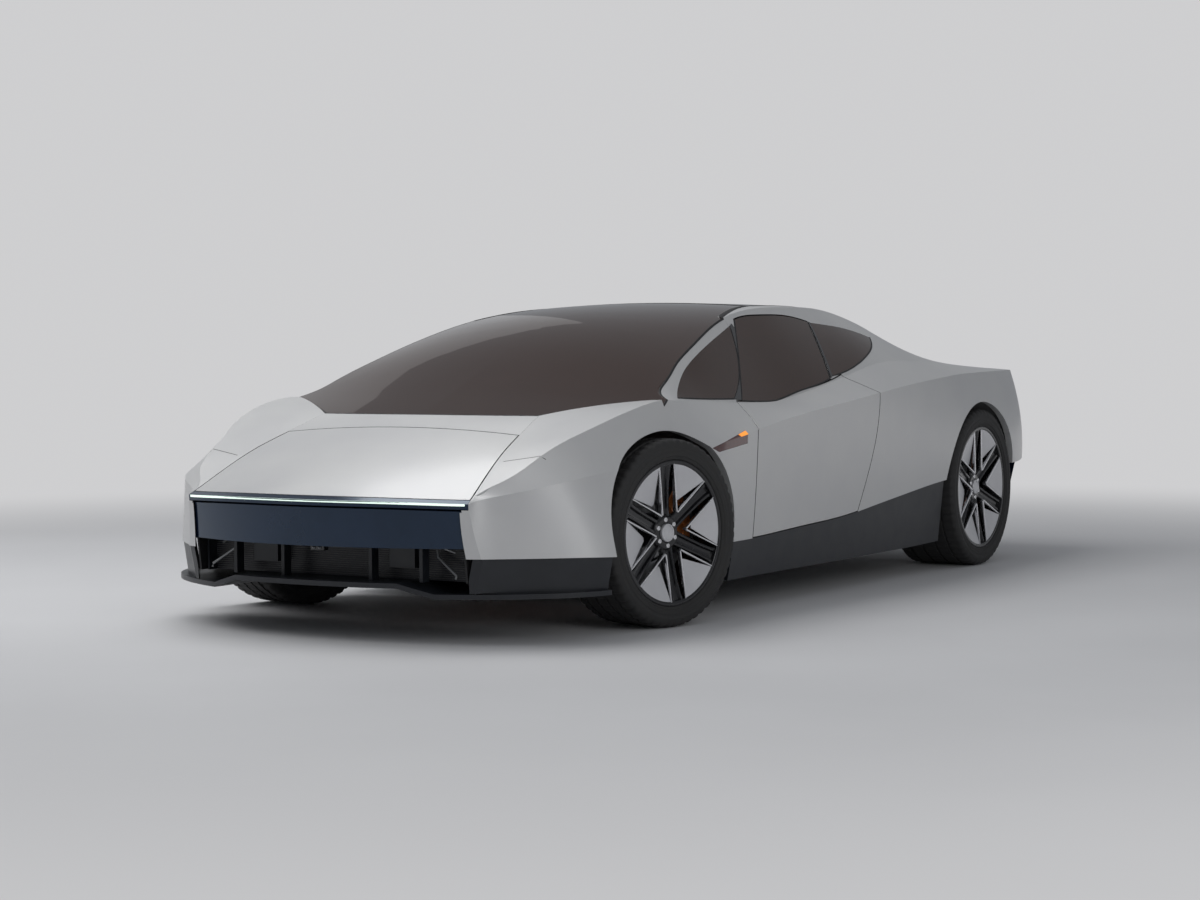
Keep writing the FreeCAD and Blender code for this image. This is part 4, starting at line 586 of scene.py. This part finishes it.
def seal_round(name, node, toward, body, width, height, keep=None, side_width=0.0):
    """Flat rubber bead round the open edge of a node's outer face.

    With side_width it lies inside the edge, and that wide along the roof's sides."""
    mesh = outer_faces(node, toward)
    if side_width:
        mesh.normal_update()
    narrow = width
    solid = Solid()
    for loop in rim_loops(mesh):
        if keep and not keep(loop[0][0]):
            continue
        middle = sum((point for point, _ in loop), Vector()) / len(loop)
        spaced = [loop[0]]
        for item in loop[1:]:
            if (item[0] - spaced[-1][0]).length > 0.004:
                spaced.append(item)
        rings = []
        count = len(spaced)
        for index, (point, normal) in enumerate(spaced):
            ahead = (spaced[(index + 1) % count][0] - spaced[index - 1][0]).normalized()
            across = ahead.cross(normal).normalized()
            if side_width:
                width = side_width if abs(ahead.y) > abs(ahead.x) and point.y > -0.33 else narrow
                point = point + across * copysign(width * 0.9, across.dot(middle - point))
            rings.append([point + across * width * wide + normal * height * tall
                          for wide, tall in ((1, 0.2), (0.6, 1), (-0.6, 1), (-1, 0.2), (-1, -1),
                                             (1, -1))])
        solid.loft(rings, True)
    mesh.free()
    return solid.make(name, seal, body, "dark_trim", sharp=50)


def cover_patch(name, node, toward, outline, body, look, slot, lift=0.0006, thick=0.0016, least=0.3,
                level_with=None):
    """Thin panel over a node's face inside a convex outline of depth and height.

    With level_with, only where the face lies level with that node's face."""
    mesh = outer_faces(node, toward, least)
    middle = Vector((sum(p[0] for p in outline), sum(p[1] for p in outline))) / len(outline)
    for start, end in zip(outline, outline[1:] + outline[:1]):
        along_edge = Vector(end) - Vector(start)
        outward = Vector((along_edge.y, -along_edge.x))
        if outward.dot(middle - Vector(start)) > 0:
            outward = -outward
        bmesh.ops.bisect_plane(mesh, geom=mesh.verts[:] + mesh.edges[:] + mesh.faces[:],
                               plane_co=(0, *start), plane_no=(0, *outward), clear_outer=True, dist=1e-6)
    mesh.normal_update()
    if level_with:
        guide = outer_faces(level_with, toward, least)
        tree = BVHTree.FromBMesh(guide)
        sunk = []
        for face in mesh.faces:
            middle = face.calc_center_median()
            near, facing, _, _ = tree.find_nearest(middle)
            if abs((middle - near).dot(facing)) > 0.003:
                sunk.append(face)
        drop_faces(mesh, sunk)
        guide.free()
    places = [v.co.copy() for v in mesh.verts]
    normals = [v.normal.copy() for v in mesh.verts]
    mesh.verts.index_update()
    faces = [[v.index for v in f.verts] for f in mesh.faces]
    borders = [(e.verts[0].index, e.verts[1].index) for e in mesh.edges if len(e.link_faces) == 1]
    mesh.free()
    count = len(places)
    verts = [p + n * rise for rise in (lift + thick, lift) for p, n in zip(places, normals)]
    faces += [[count + i for i in reversed(face)] for face in faces]
    faces += [[a, b, count + b, count + a] for a, b in borders]
    return piece(name, verts, faces, look, body, slot, sharp=50)


def fall_on(node, points, direction):
    """Points dropped on a node along a direction, with the normals there."""
    data = nodes[node].data
    tree = BVHTree.FromPolygons([v.co for v in data.vertices], [p.vertices for p in data.polygons])
    direction = Vector(direction).normalized()
    found = []
    for point in points:
        place_hit, normal, _, _ = tree.ray_cast(Vector(point) - direction * 3.0, direction)
        if place_hit is not None:
            found.append((place_hit, normal if normal.dot(direction) < 0 else -normal))
    return found


def even_points(points, step):
    spaced = []
    for start, end in zip(points, points[1:]):
        start, end = Vector(start), Vector(end)
        count = max(1, int((end - start).length / step))
        spaced += [start.lerp(end, i / count) for i in range(count)]
    return spaced + [Vector(points[-1])]


def seam_strip(name, node, points, direction, body, width=0.0032, proud=0.0004, look=seal,
               slot="dark_trim"):
    """Narrow dark strip that lies in a panel's surface along a line."""
    line = fall_on(node, even_points(points, 0.02), direction)
    rings = []
    for index, (point, normal) in enumerate(line):
        ahead = (line[min(index + 1, len(line) - 1)][0] - line[max(index - 1, 0)][0]).normalized()
        across = ahead.cross(normal).normalized() * width / 2
        rings.append([point + across + normal * proud, point - across + normal * proud,
                      point - across - normal * 0.002, point + across - normal * 0.002])
    return Solid().loft(rings).make(name, look, body, slot, sharp=50)


# Half width and height of the seals, and half the width of the dark edge along the roof.
SIDE_SEAL = (0.0035, 0.0012)
TOP_SEAL = (0.0045, 0.0016)
ROOF_EDGE_HALF = 0.0125
# Outlines seen from the side: the dark divisions between the panes, and the lamp in the marker.
FRONT_DIVISION = [(-0.8, 0.845), (-0.575, 0.809), (-0.245, 1.109), (-0.245, 1.137), (-0.6, 1.014)]
REAR_DIVISION = [(0.215, 0.882), (0.287, 0.904), (0.466, 1.1235), (0.41, 1.134)]
MARKER_AMBER = [(-0.875, 0.684), (-0.82, 0.692), (-0.82, 0.712), (-0.885, 0.694)]

for name, side in SIDES:
    seal_round("door_glass_seal_" + name, "door_glass_" + name, (side, 0, 0.4), "door_" + name,
               *SIDE_SEAL)
    for node in ("fender_", "side_panel_"):
        cover_patch("division_cover_" + node + name, node + name, (side, 0, 0.4), FRONT_DIVISION,
                    "body", trim, "dark_trim", level_with="quarter_glass")
    cover_patch("rear_division_cover_" + name, "side_panel_" + name, (side, 0, 0.4), REAR_DIVISION,
                "body", trim, "dark_trim", level_with="quarter_glass")
    cover_patch("marker_amber_" + name, "side_markers", (side, 0, 0.2), MARKER_AMBER, "body",
                lamp_amber, "light", lift=0.0003, thick=0.0012)
for name, side in SIDES:
    seal_round("quarter_glass_seals_" + name, "quarter_glass", (side, 0, 0.4), "body", *SIDE_SEAL,
               keep=lambda point: point.x * side > 0)
for pane, lean in (("windshield", -0.3), ("roof_glass", 0), ("rear_window", 0.3)):
    seal_round(pane + "_seal", pane, (0, lean, 1), "body", *TOP_SEAL, side_width=ROOF_EDGE_HALF)


# Seats

SEAT_CENTRE, SEAT_HALF = 0.37, 0.24
CUSHION_HALF, CUSHION_THICK = 0.222, 0.095
BACK_HALF, BACK_THICK = 0.212, 0.08
PAD_ROWS, PAD_COLUMNS = 64, 48
# The long seam's place as a share of the pad's half width, and how wide and deep the sewing reaches.
SEAM_PLACE, SEAM_REACH, SEAM_DEPTH = 0.58, 0.03, 0.01
CHANNEL_REACH, CHANNEL_DEPTH = 0.01, 0.006
CROWN = 0.01
STITCHES, STITCH_LENGTH, STITCH_HALF, STITCH_HEIGHT = 56, 0.0042, 0.0006, 0.0016
# Side view of the seat: the padded faces from front to rear and from low to high, and the shell.
CUSHION_LINE = [(-0.205, 0.325), (-0.18, 0.372), (-0.12, 0.392), (0.0, 0.377), (0.12, 0.357),
                (0.205, 0.347)]
BACK_LINE = [(0.262, 0.372), (0.292, 0.43), (0.345, 0.56), (0.405, 0.71), (0.455, 0.835)]
HEAD_LINE = [(0.472, 0.86), (0.494, 0.902), (0.522, 0.95), (0.556, 0.988)]
SHELL_LINE = [(-0.226, 0.262), (-0.15, 0.24), (0.15, 0.236), (0.345, 0.25), (0.425, 0.33),
              (0.52, 0.6), (0.6, 0.86), (0.637, 0.975)]


def line_at(line, share):
    """Place and direction on a line of points at a share of its length."""
    spans = [dist(a, b) for a, b in zip(line, line[1:])]
    left = share * sum(spans)
    for (a, b), length in zip(zip(line, line[1:]), spans):
        if left <= length or b == line[-1]:
            part = min(left / length, 1)
            return Vector(a).lerp(Vector(b), part), (Vector(b) - Vector(a)).normalized()
        left -= length


def smoothed(line, rounds=3):
    """The same line with its corners rounded."""
    points = [Vector(p) for p in line]
    for _ in range(rounds):
        cut = [points[0]]
        for a, b in zip(points, points[1:]):
            cut += [a.lerp(b, 0.25), a.lerp(b, 0.75)]
        points = cut + [points[-1]]
    return [tuple(p) for p in points]


def groove(distance, width, depth):
    """Depth of a sewn channel at a distance from its seam."""
    return depth * exp(-(distance / width) ** 2)


def rise_past_seam(out):
    """How far a bolster has risen at a share of the pad's half width."""
    return max(0.0, (out - SEAM_PLACE) / (1 - SEAM_PLACE)) ** 1.5


def make_pad(name, line, centre, half, thick, bolster, channels):
    """Crowned pad along a line: bolsters at its sides, two long seams and sewn channels across."""
    line = smoothed(line)
    rings = []
    for row in range(PAD_ROWS + 1):
        share = row / PAD_ROWS
        point, ahead = line_at(line, share)
        normal = Vector((-ahead.y, ahead.x))
        ends = sin(pi * min(max(share, 0.004), 0.996)) ** 0.22
        pull = 1 - 0.045 * sin(pi * share) ** 2
        ring = []
        for turn in circle(PAD_COLUMNS):
            wide = copysign(abs(cos(turn)) ** 0.45, cos(turn))
            tall = copysign(abs(sin(turn)) ** 0.62, sin(turn))
            level = thick * (0.5 * tall * ends - 0.5)
            if tall > 0:
                out = abs(wide)
                level += bolster * rise_past_seam(out) * (1 - out ** 8) * ends * 2.2
                level -= groove(out - SEAM_PLACE, SEAM_REACH, SEAM_DEPTH) * ends
                if out < SEAM_PLACE:
                    level += CROWN * (1 - (out / SEAM_PLACE) ** 2) * ends
                    level -= sum(groove(share - c, CHANNEL_REACH, CHANNEL_DEPTH) for c in channels) * ends
            y, z = point + normal * level
            ring.append((centre + wide * half * pull * (0.86 + 0.14 * ends), y, z))
        rings.append(ring)
    pad = Solid().loft(rings).make(name, leather, "body", "seat", sharp=80)


def make_seam(name, line, centre, half, thick):
    """Twin lines of stitches beside a pad's two long seams."""
    line = smoothed(line)
    solid = Solid()
    for side, out in ((-1, 0.5), (-1, 0.655), (1, 0.5), (1, 0.655)):
        crown = CROWN * (1 - (out / SEAM_PLACE) ** 2) if out < SEAM_PLACE else 0
        level = thick * (0.5 * sin(acos(out ** (1 / 0.45))) ** 0.62 - 0.5)
        level += 0.0245 * rise_past_seam(out) * 2.2 + crown
        level -= groove(out - SEAM_PLACE, SEAM_REACH, SEAM_DEPTH)
        x = centre + side * out * half
        for step in range(STITCHES):
            point, ahead = line_at(line, 0.06 + 0.88 * step / STITCHES)
            normal = Vector((-ahead.y, ahead.x))
            start = point + normal * (level - 0.0004)
            solid.loft([[(x - STITCH_HALF, *low), (x + STITCH_HALF, *low), (x + STITCH_HALF, *high),
                         (x - STITCH_HALF, *high)] for low in (start, start + ahead * STITCH_LENGTH)
                        for high in (low + normal * STITCH_HEIGHT,)])
    solid.make(name, stitch, "body", "seat", sharp=60)


def make_shell(name, centre):
    """Thin hard bucket that carries the pads."""
    line = smoothed(SHELL_LINE)
    rings = []
    for row in range(61):
        share = row / 60
        point, ahead = line_at(line, share)
        normal = Vector((-ahead.y, ahead.x))
        half = SEAT_HALF - 0.004 - 0.055 * max(0.0, (share - 0.62) / 0.38) ** 1.6
        wing = 0.06 * sin(pi * min(max(share, 0.02), 0.98)) ** 0.5
        ring = []
        for column, thick in [(c, 0) for c in range(13)] + [(c, 0.007) for c in range(12, -1, -1)]:
            across = column / 6 - 1
            rise = wing * max(0.0, (abs(across) - 0.72) / 0.28) ** 1.4 - thick
            ring.append((centre + across * half, *(point + normal * rise)))
        rings.append(ring)
    solid = Solid().loft(rings)
    for x in (-0.17, 0.17):
        solid.box((centre + x - 0.016, -0.19, 0.2285), (centre + x + 0.016, 0.3, 0.243))
    return solid.make(name, carbon, "body", "seat", sharp=50)


for name, side in SIDES:
    centre = side * SEAT_CENTRE
    shell = make_shell("seat_shell_" + name, centre)
    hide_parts("seat_" + name)
    make_pad("seat_cushion_" + name, CUSHION_LINE, centre, CUSHION_HALF, CUSHION_THICK, 0.022,
             (0.3, 0.46, 0.62, 0.78))
    make_pad("seat_back_" + name, BACK_LINE, centre, BACK_HALF, BACK_THICK, 0.024,
             (0.22, 0.38, 0.54, 0.7, 0.86))
    make_pad("headrest_" + name, HEAD_LINE, centre, 0.125, 0.06, 0.004, (0.5,))
    make_seam("cushion_stitches_" + name, CUSHION_LINE, centre, CUSHION_HALF, CUSHION_THICK)
    make_seam("back_stitches_" + name, BACK_LINE, centre, BACK_HALF, BACK_THICK)


# Cabin

WHEEL_MIDDLE = Vector((SEAT_CENTRE, -0.3344, 0.7107))
WHEEL_AXIS = Vector((0, 0.883, 0.469)).normalized()
UPRIGHT = Matrix.Rotation(-pi / 2, 4, "Y")
# Outline of the trim card on a door's inner face, seen from the side.
DOOR_CARD = [(-0.62, 0.3), (0.14, 0.3), (0.3, 0.76), (-0.1, 0.77), (-0.62, 0.72)]


def make_steering():
    """Leather rim with flattened foot, three alloy spokes and a blank hub pad."""
    across = Vector((1, 0, 0))
    upward = WHEEL_AXIS.cross(across)
    place_of = Matrix((across, -upward, WHEEL_AXIS)).transposed().to_4x4()
    place_of.translation = WHEEL_MIDDLE
    rings = []
    for angle in circle(96):
        radius = 0.17 / max(1.0, -sin(angle) / 0.9)
        middle = Vector((radius * cos(angle), radius * sin(angle), 0))
        outward = Vector((cos(angle), sin(angle), 0))
        grip = 0.0135 + 0.0015 * cos(2 * angle)
        rings.append([middle + outward * grip * cos(t) + Vector((0, 0, grip * 0.85 * sin(t)))
                      for t in circle(20)])
    rim = Solid().loft(rings, True).make("steering_rim", dark_leather, "steering_wheel", "seat",
                                         matrix=place_of, sharp=60)
    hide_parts("steering_wheel")
    spokes = Solid()
    for angle, width in ((0, 0.03), (180, 0.03), (270, 0.042)):
        turn = Matrix.Rotation(radians(angle), 4, "Z")
        reach = 0.145 if angle == 270 else 0.162
        spokes.loft([[(r, -w, -0.004 - d), (r, w, -0.004 - d), (r, w * 0.8, 0.003 - d),
                      (r, -w * 0.8, 0.003 - d)]
                     for r, w, d in ((0.04, width, 0.004), (0.09, width * 0.55, 0.003),
                                     (reach, width * 0.45, 0.0))], matrix=turn)
    spokes.make("steering_spokes", machined, "steering_wheel", "rim", matrix=place_of, sharp=40,
                soften=0.0008)
    hub = Solid()
    hub.turned([(-0.06, 0.03), (-0.012, 0.05), (-0.004, 0.056), (0.004, 0.052), (0.0085, 0.036),
                (0.01, 0.001), (-0.06, 0.001)], 64, matrix=UPRIGHT)
    hub.turned([(-0.186, 0.001), (-0.186, 0.024), (-0.055, 0.024), (-0.055, 0.001)], 32, matrix=UPRIGHT)
    hub.make("steering_hub", dark_leather, "steering_wheel", "seat", matrix=place_of, sharp=40)


def make_dash_details():
    """Slim screen from pillar to pillar, and four vents."""
    solid = Solid()
    solid.loft([[(x, -0.56, 0.688), (x, -0.548, 0.728), (x, -0.556, 0.731), (x, -0.568, 0.692)]
                for x in (-0.56, 0.6)])
    solid.make("screen_frame", trim, "body", "dark_trim", soften=0.002)
    face = Solid()
    face.loft([[(x, -0.5582, 0.6935), (x, -0.5478, 0.7265), (x, -0.547, 0.7262), (x, -0.5574, 0.6932)]
               for x in (-0.552, 0.592)])
    face.make("screen_face", screen_glass, "body", "dark_trim")
    vents = Solid()
    for centre in (-0.52, -0.18, 0.1, 0.6):
        for row in range(5):
            z = 0.603 + row * 0.0105
            y = -0.497 - row * 0.0042
            vents.box((centre - 0.062, y - 0.004, z), (centre + 0.062, y + 0.003, z + 0.0022))
        vents.box((centre - 0.002, -0.512, 0.6), (centre + 0.002, -0.5, 0.65))
    vents.make("dash_vents", trim, "body", "dark_trim", soften=0.0004)


def make_console():
    """Console between the seats with its armrest pad and selector."""
    solid = Solid()
    solid.loft([[(w, y, 0.4205), (w, y, h - 0.012), (w - 0.01, y, h), (0.01 - w, y, h),
                 (-w, y, h - 0.012), (-w, y, 0.4205)]
                for y, w, h in ((-0.44, 0.08, 0.462), (-0.2, 0.084, 0.452), (0.05, 0.084, 0.45),
                                (0.6, 0.084, 0.45), (0.86, 0.08, 0.45))])
    solid.make("console", satin, "body", "satin_black", soften=0.003)
    make_pad("armrest", [(0.1, 0.492), (0.2, 0.5), (0.34, 0.502), (0.44, 0.498)], 0.0, 0.068, 0.044,
             0.0, ())
    knob = Solid()
    knob.turned([(0.451, 0.001), (0.451, 0.019), (0.462, 0.02), (0.47, 0.017), (0.472, 0.001)], 48,
                matrix=Matrix.Translation((0, -0.1, 0)) @ UPRIGHT)
    knob.make("selector_knob", machined, "body", "rim", sharp=40)


def make_floor_trim():
    """Carpet mats, the felt on the bulkhead and two pedals."""
    mats = Solid()
    for _, side in SIDES:
        mats.box((side * 0.125, -0.8, 0.229), (side * 0.61, -0.26, 0.2375))
    mats.box((-0.7, 0.885, 0.46), (0.7, 0.8995, 0.79))
    mats.make("carpets", felt, "body", "liner", soften=0.002)
    pedals = Solid()
    for x, wide, tall in ((0.3, 0.055, 0.1), (0.42, 0.045, 0.13)):
        rings = []
        for rise in (0.0, tall / 2):
            face = (-0.8 + rise, 0.3 + rise * 1.6)
            back = (-0.808 + rise, 0.304 + rise * 1.6)
            rings.append([(x - wide / 2, *face), (x + wide / 2, *face), (x + wide / 2, *back),
                          (x - wide / 2, *back)])
        pedals.loft(rings)
        pedals.box((x - 0.008, -0.857, 0.33), (x + 0.008, -0.795, 0.345))
    pedals.make("pedals", machined, "body", "rim", soften=0.001)


make_steering()
make_dash_details()
make_console()
make_floor_trim()
for name, side in SIDES:
    cover_patch("door_card_" + name, "door_" + name, (-side, 0, 0.0), DOOR_CARD, "door_" + name,
                dark_leather, "seat", lift=0.0008, thick=0.002, least=0.75)


# Nose

COOLER_FINS, FIN_PITCH = 27, 0.0078


def make_mouth():
    """Cooler fins, slanted stays with their ends, and the small sensor under the panel."""
    fins = Solid()
    for step in range(COOLER_FINS):
        z = 0.222 + step * FIN_PITCH
        fins.box((-0.572, -2.1262, z), (0.572, -2.1195, z + 0.0016))
    fins.make("cooler_fins", iron, "body", "iron")
    tubes = Solid()
    for _, side in SIDES:
        tubes.tube([(side * 0.545, -2.185, 0.228), (side * 0.545, -2.18, 0.24),
                    (side * 0.455, -2.16, 0.3), (side * 0.445, -2.155, 0.345)], 0.0055, 14)
        tubes.tube([(side * 0.52, -2.15, 0.318), (side * 0.47, -2.175, 0.34)], 0.0045, 12)
    tubes.make("mouth_stays", alloy, "body", "steel")
    sensor = Solid().box((-0.03, -2.262, 0.3145), (0.03, -2.232, 0.3375))
    sensor.make("nose_sensor_case", trim, "body", "dark_trim", soften=0.004, steps=3)
    lens = Solid()
    for x in (-0.013, 0.013):
        lens.turned([(0, 0.001), (0, 0.0075), (0.002, 0.008), (0.0035, 0.006), (0.0042, 0.001)], 32,
                    matrix=Matrix.Translation((x, -2.262, 0.326)) @ Matrix.Rotation(-pi / 2, 4, "Z"))
    lens.make("nose_sensor_lenses", screen_glass, "body", "dark_trim")


def make_bumper_seams():
    """Seam of the nose skin across each fender's top."""
    for name, side in SIDES:
        seam_strip("nose_seam_" + name, "fender_" + name,
                   [(side * 0.602, -1.965, 2), (side * 0.76, -1.935, 2)], (0, 0, -1), "body",
                   width=0.0024)


def make_light_guide():
    """Thin line of light along the upper edge of the light bar's front."""
    rings = []
    for step in range(81):
        x = -0.612 + 1.224 * step / 80
        front = fall_on("front_light_bar", [(x, -3, 0.487)], (0, 1, 0))[0][0].y
        top = fall_on("front_light_bar", [(x, front + 0.01, 2)], (0, 0, -1))[0][0].z
        high, low = [fall_on("front_light_bar", [(x, -3, top - drop)], (0, 1, 0))[0][0]
                     for drop in (0.0045, 0.0125)]
        rings.append([(x, high.y - 0.0012, high.z), (x, low.y - 0.0012, low.z),
                      (x, low.y + 0.003, low.z), (x, high.y + 0.003, high.z)])
    Solid().loft(rings).make("front_light_guide", lamp_white, "body", "light", sharp=60)


def make_mouth_walls():
    """Dark walls and a shelf that close the room behind the mouth."""
    walls = Solid()
    for _, side in SIDES:
        low, high = side * 0.592, side * 0.6
        walls.loft([[(low, y, z), (high, y, z), (high, -1.82, z), (low, -1.82, z)]
                    for y, z in ((-2.19, 0.2155), (-2.206, 0.337))])
    walls.box((-0.574, -2.076, 0.2155), (0.574, -2.07, 0.43))
    walls.make("mouth_walls", seal, "body", "satin_black")


make_mouth()
make_mouth_walls()
make_light_guide()
make_bumper_seams()


# Tail

LIGHT_RIBS, RIB_PITCH = 88, 0.01667
SLATS, SLAT_PITCH = 9, 0.021


def tail_face(x, z):
    """Station of the tail panel's surface at a place."""
    return fall_on("rear_fascia", [(x, 2.6, z)], (0, -1, 0))[0][0].y


def lay_on_tail(solid, corners, proud, thick):
    """Flat plate that stands proud of the tail panel."""
    front = [(x, tail_face(x, z) + proud, z) for x, z in corners]
    solid.loft([front, [(x, y - thick, z) for x, y, z in front]])


def make_tail():
    """Ribs of light in the lamp, slats, a blank plate holder and two reflectors."""
    ribs = Solid()
    for step in range(LIGHT_RIBS):
        x = -0.725 + step * RIB_PITCH
        hit = fall_on("tail_light_bar", [(x, 2.6, 0.78)], (0, -1, 0))
        if hit:
            y = hit[0][0].y
            ribs.box((x - 0.0016, y - 0.002, 0.7725), (x + 0.0016, y + 0.0012, 0.7875))
    ribs.make("tail_light_ribs", lamp_tail, "body", "red_light")
    for row in range(SLATS):
        z = 0.735 - row * SLAT_PITCH
        seam_strip("tail_slat_" + str(row + 1), "rear_fascia", [(-0.66, 2.6, z), (0.66, 2.6, z)],
                   (0, -1, 0), "body", width=0.0085, proud=0.0045, look=satin, slot="satin_black")
    plate = Solid()
    for half, low, high, proud in ((0.275, 0.408, 0.522, 0.004), (0.263, 0.42, 0.51, 0.006)):
        lay_on_tail(plate, [(-half, low), (half, low), (half, high), (-half, high)], proud, 0.01)
    plate.make("blank_plate_holder", trim, "body", "dark_trim", soften=0.002)
    for name, side in SIDES:
        lens = Solid()
        low, high = side * 0.6, side * 0.7
        lay_on_tail(lens, [(low, 0.395), (high, 0.395), (high, 0.412), (low, 0.412)], 0.003, 0.008)
        lens.make("rear_reflector_" + name, lamp_red, "body", "red_light", soften=0.002)


make_tail()


# Stage, light and camera

PALE = (0.62, 0.62, 0.63)
FLOOR_HALF = 60
FADE_START, FADE_END = 2.9, 8.0
# Lamps: name, place, what they light, size and watts.
LAMPS = (
    ("key_over_nose", (-3.8, -3.2, 4.6), (0, -0.8, 0.4), (4.4, 3.4), 112),
    ("top_softbox", (-1.4, -0.6, 5.4), (0, -0.4, 0), (3.6, 3.0), 108),
    ("side_fill", (6.5, -3.5, 2.6), (0.4, 0, 0.6), (4.0, 2.4), 60),
    ("far_side_panel", (-7.8, 5.25, 3.4), (0, -0.3, 0.9), (6.5, 5.4), 18),
)
# The camera as solved from the photo.
CAMERA_PLACE = (5.42859, -9.30734, 1.05793)
YAW, PITCH, ROLL = radians(31.093), radians(2.5349), radians(-0.3528)
LENS, SENSOR = 74.626, 36.0


def mix_shaders(tree, share, first, second):
    node = make_node(tree, "MixShader")
    for socket, value in zip(node.inputs, (share, first, second)):
        tree.links.new(value, socket)
    return node.outputs[0]


def seen_rays(tree):
    """1 for what the camera sees, also in mirrors and through glass."""
    rays = make_node(tree, "LightPath").outputs
    mirrored = combine(tree, "MAXIMUM", rays["Is Camera Ray"], rays["Is Glossy Ray"])
    return combine(tree, "MAXIMUM", mirrored, rays["Is Transmission Ray"])


def make_floor():
    """Pale floor that runs out into the backdrop's colour, clear from below."""
    look = surface("pale_floor", (0.68, 0.68, 0.69), (0.72, 0.72, 0.73), 0.62, 0.05, 0.6, 0.0002, 300)
    tree = look.node_tree
    far = make_node(tree, "VectorMath", {"operation": "LENGTH"})
    tree.links.new(make_node(tree, "TexCoord").outputs["Object"], far.inputs[0])
    share = make_node(tree, "MapRange", {"interpolation_type": "SMOOTHSTEP"}, From_Min=FADE_START,
                      From_Max=FADE_END, Value=far.outputs["Value"])
    seen = combine(tree, "MULTIPLY", share.outputs["Result"], seen_rays(tree))
    glow = make_node(tree, "Emission", Color=PALE)
    above = mix_shaders(tree, seen, tree.nodes["Principled BSDF"].outputs[0], glow.outputs[0])
    below = mix_shaders(tree, make_node(tree, "NewGeometry").outputs["Backfacing"], above,
                        make_node(tree, "BsdfTransparent").outputs[0])
    tree.links.new(below, tree.nodes["Material Output"].inputs["Surface"])
    mesh = bpy.data.meshes.new("studio_floor")
    half = FLOOR_HALF
    mesh.from_pydata([(-half, -half, 0), (half, -half, 0), (half, half, 0), (-half, half, 0)], [],
                     [[0, 1, 2, 3]])
    mesh.materials.append(look)
    show("studio_floor", mesh)


def soft_light(name, location, target, size, power):
    lamp = bpy.data.lights.new(name, "AREA")
    lamp.shape = "RECTANGLE"
    lamp.size, lamp.size_y = size
    lamp.energy = power
    item = show(name, lamp)
    item.location = location
    aim = Vector(target) - Vector(location)
    item.rotation_euler = aim.to_track_quat("-Z", "Y").to_euler()


def make_world():
    """Even dim light from all round, and the pale backdrop where the camera sees it."""
    world = bpy.data.worlds.new("studio")
    bpy.context.scene.world = world
    world.use_nodes = True
    tree = world.node_tree
    dim = tree.nodes["Background"]
    fill(tree, dim.inputs["Color"], (0.82, 0.85, 0.9))
    dim.inputs["Strength"].default_value = 0.31
    pale = make_node(tree, "Background", Color=PALE)
    rays = make_node(tree, "LightPath")
    seen = mix_shaders(tree, rays.outputs["Is Camera Ray"], dim.outputs[0], pale.outputs[0])
    tree.links.new(seen, tree.nodes["World Output"].inputs["Surface"])


def make_camera():
    """Camera at the photo's place and with its lens."""
    forward = Vector((-sin(YAW) * cos(PITCH), cos(YAW) * cos(PITCH), -sin(PITCH)))
    level = Vector((cos(YAW), sin(YAW), 0))
    upward = level.cross(forward)
    right = level * cos(ROLL) + upward * sin(ROLL)
    up = upward * cos(ROLL) - level * sin(ROLL)
    data = bpy.data.cameras.new("camera")
    data.sensor_width, data.lens, data.clip_end = SENSOR, LENS, 100
    camera = show("camera", data)
    turn = Matrix((right, up, -forward)).transposed().to_4x4()
    camera.matrix_world = Matrix.Translation(CAMERA_PLACE) @ turn
    bpy.context.scene.camera = camera


make_floor()
make_world()
for lamp in LAMPS:
    soft_light(*lamp)
make_camera()
bpy.context.scene.view_settings.view_transform = "Standard"
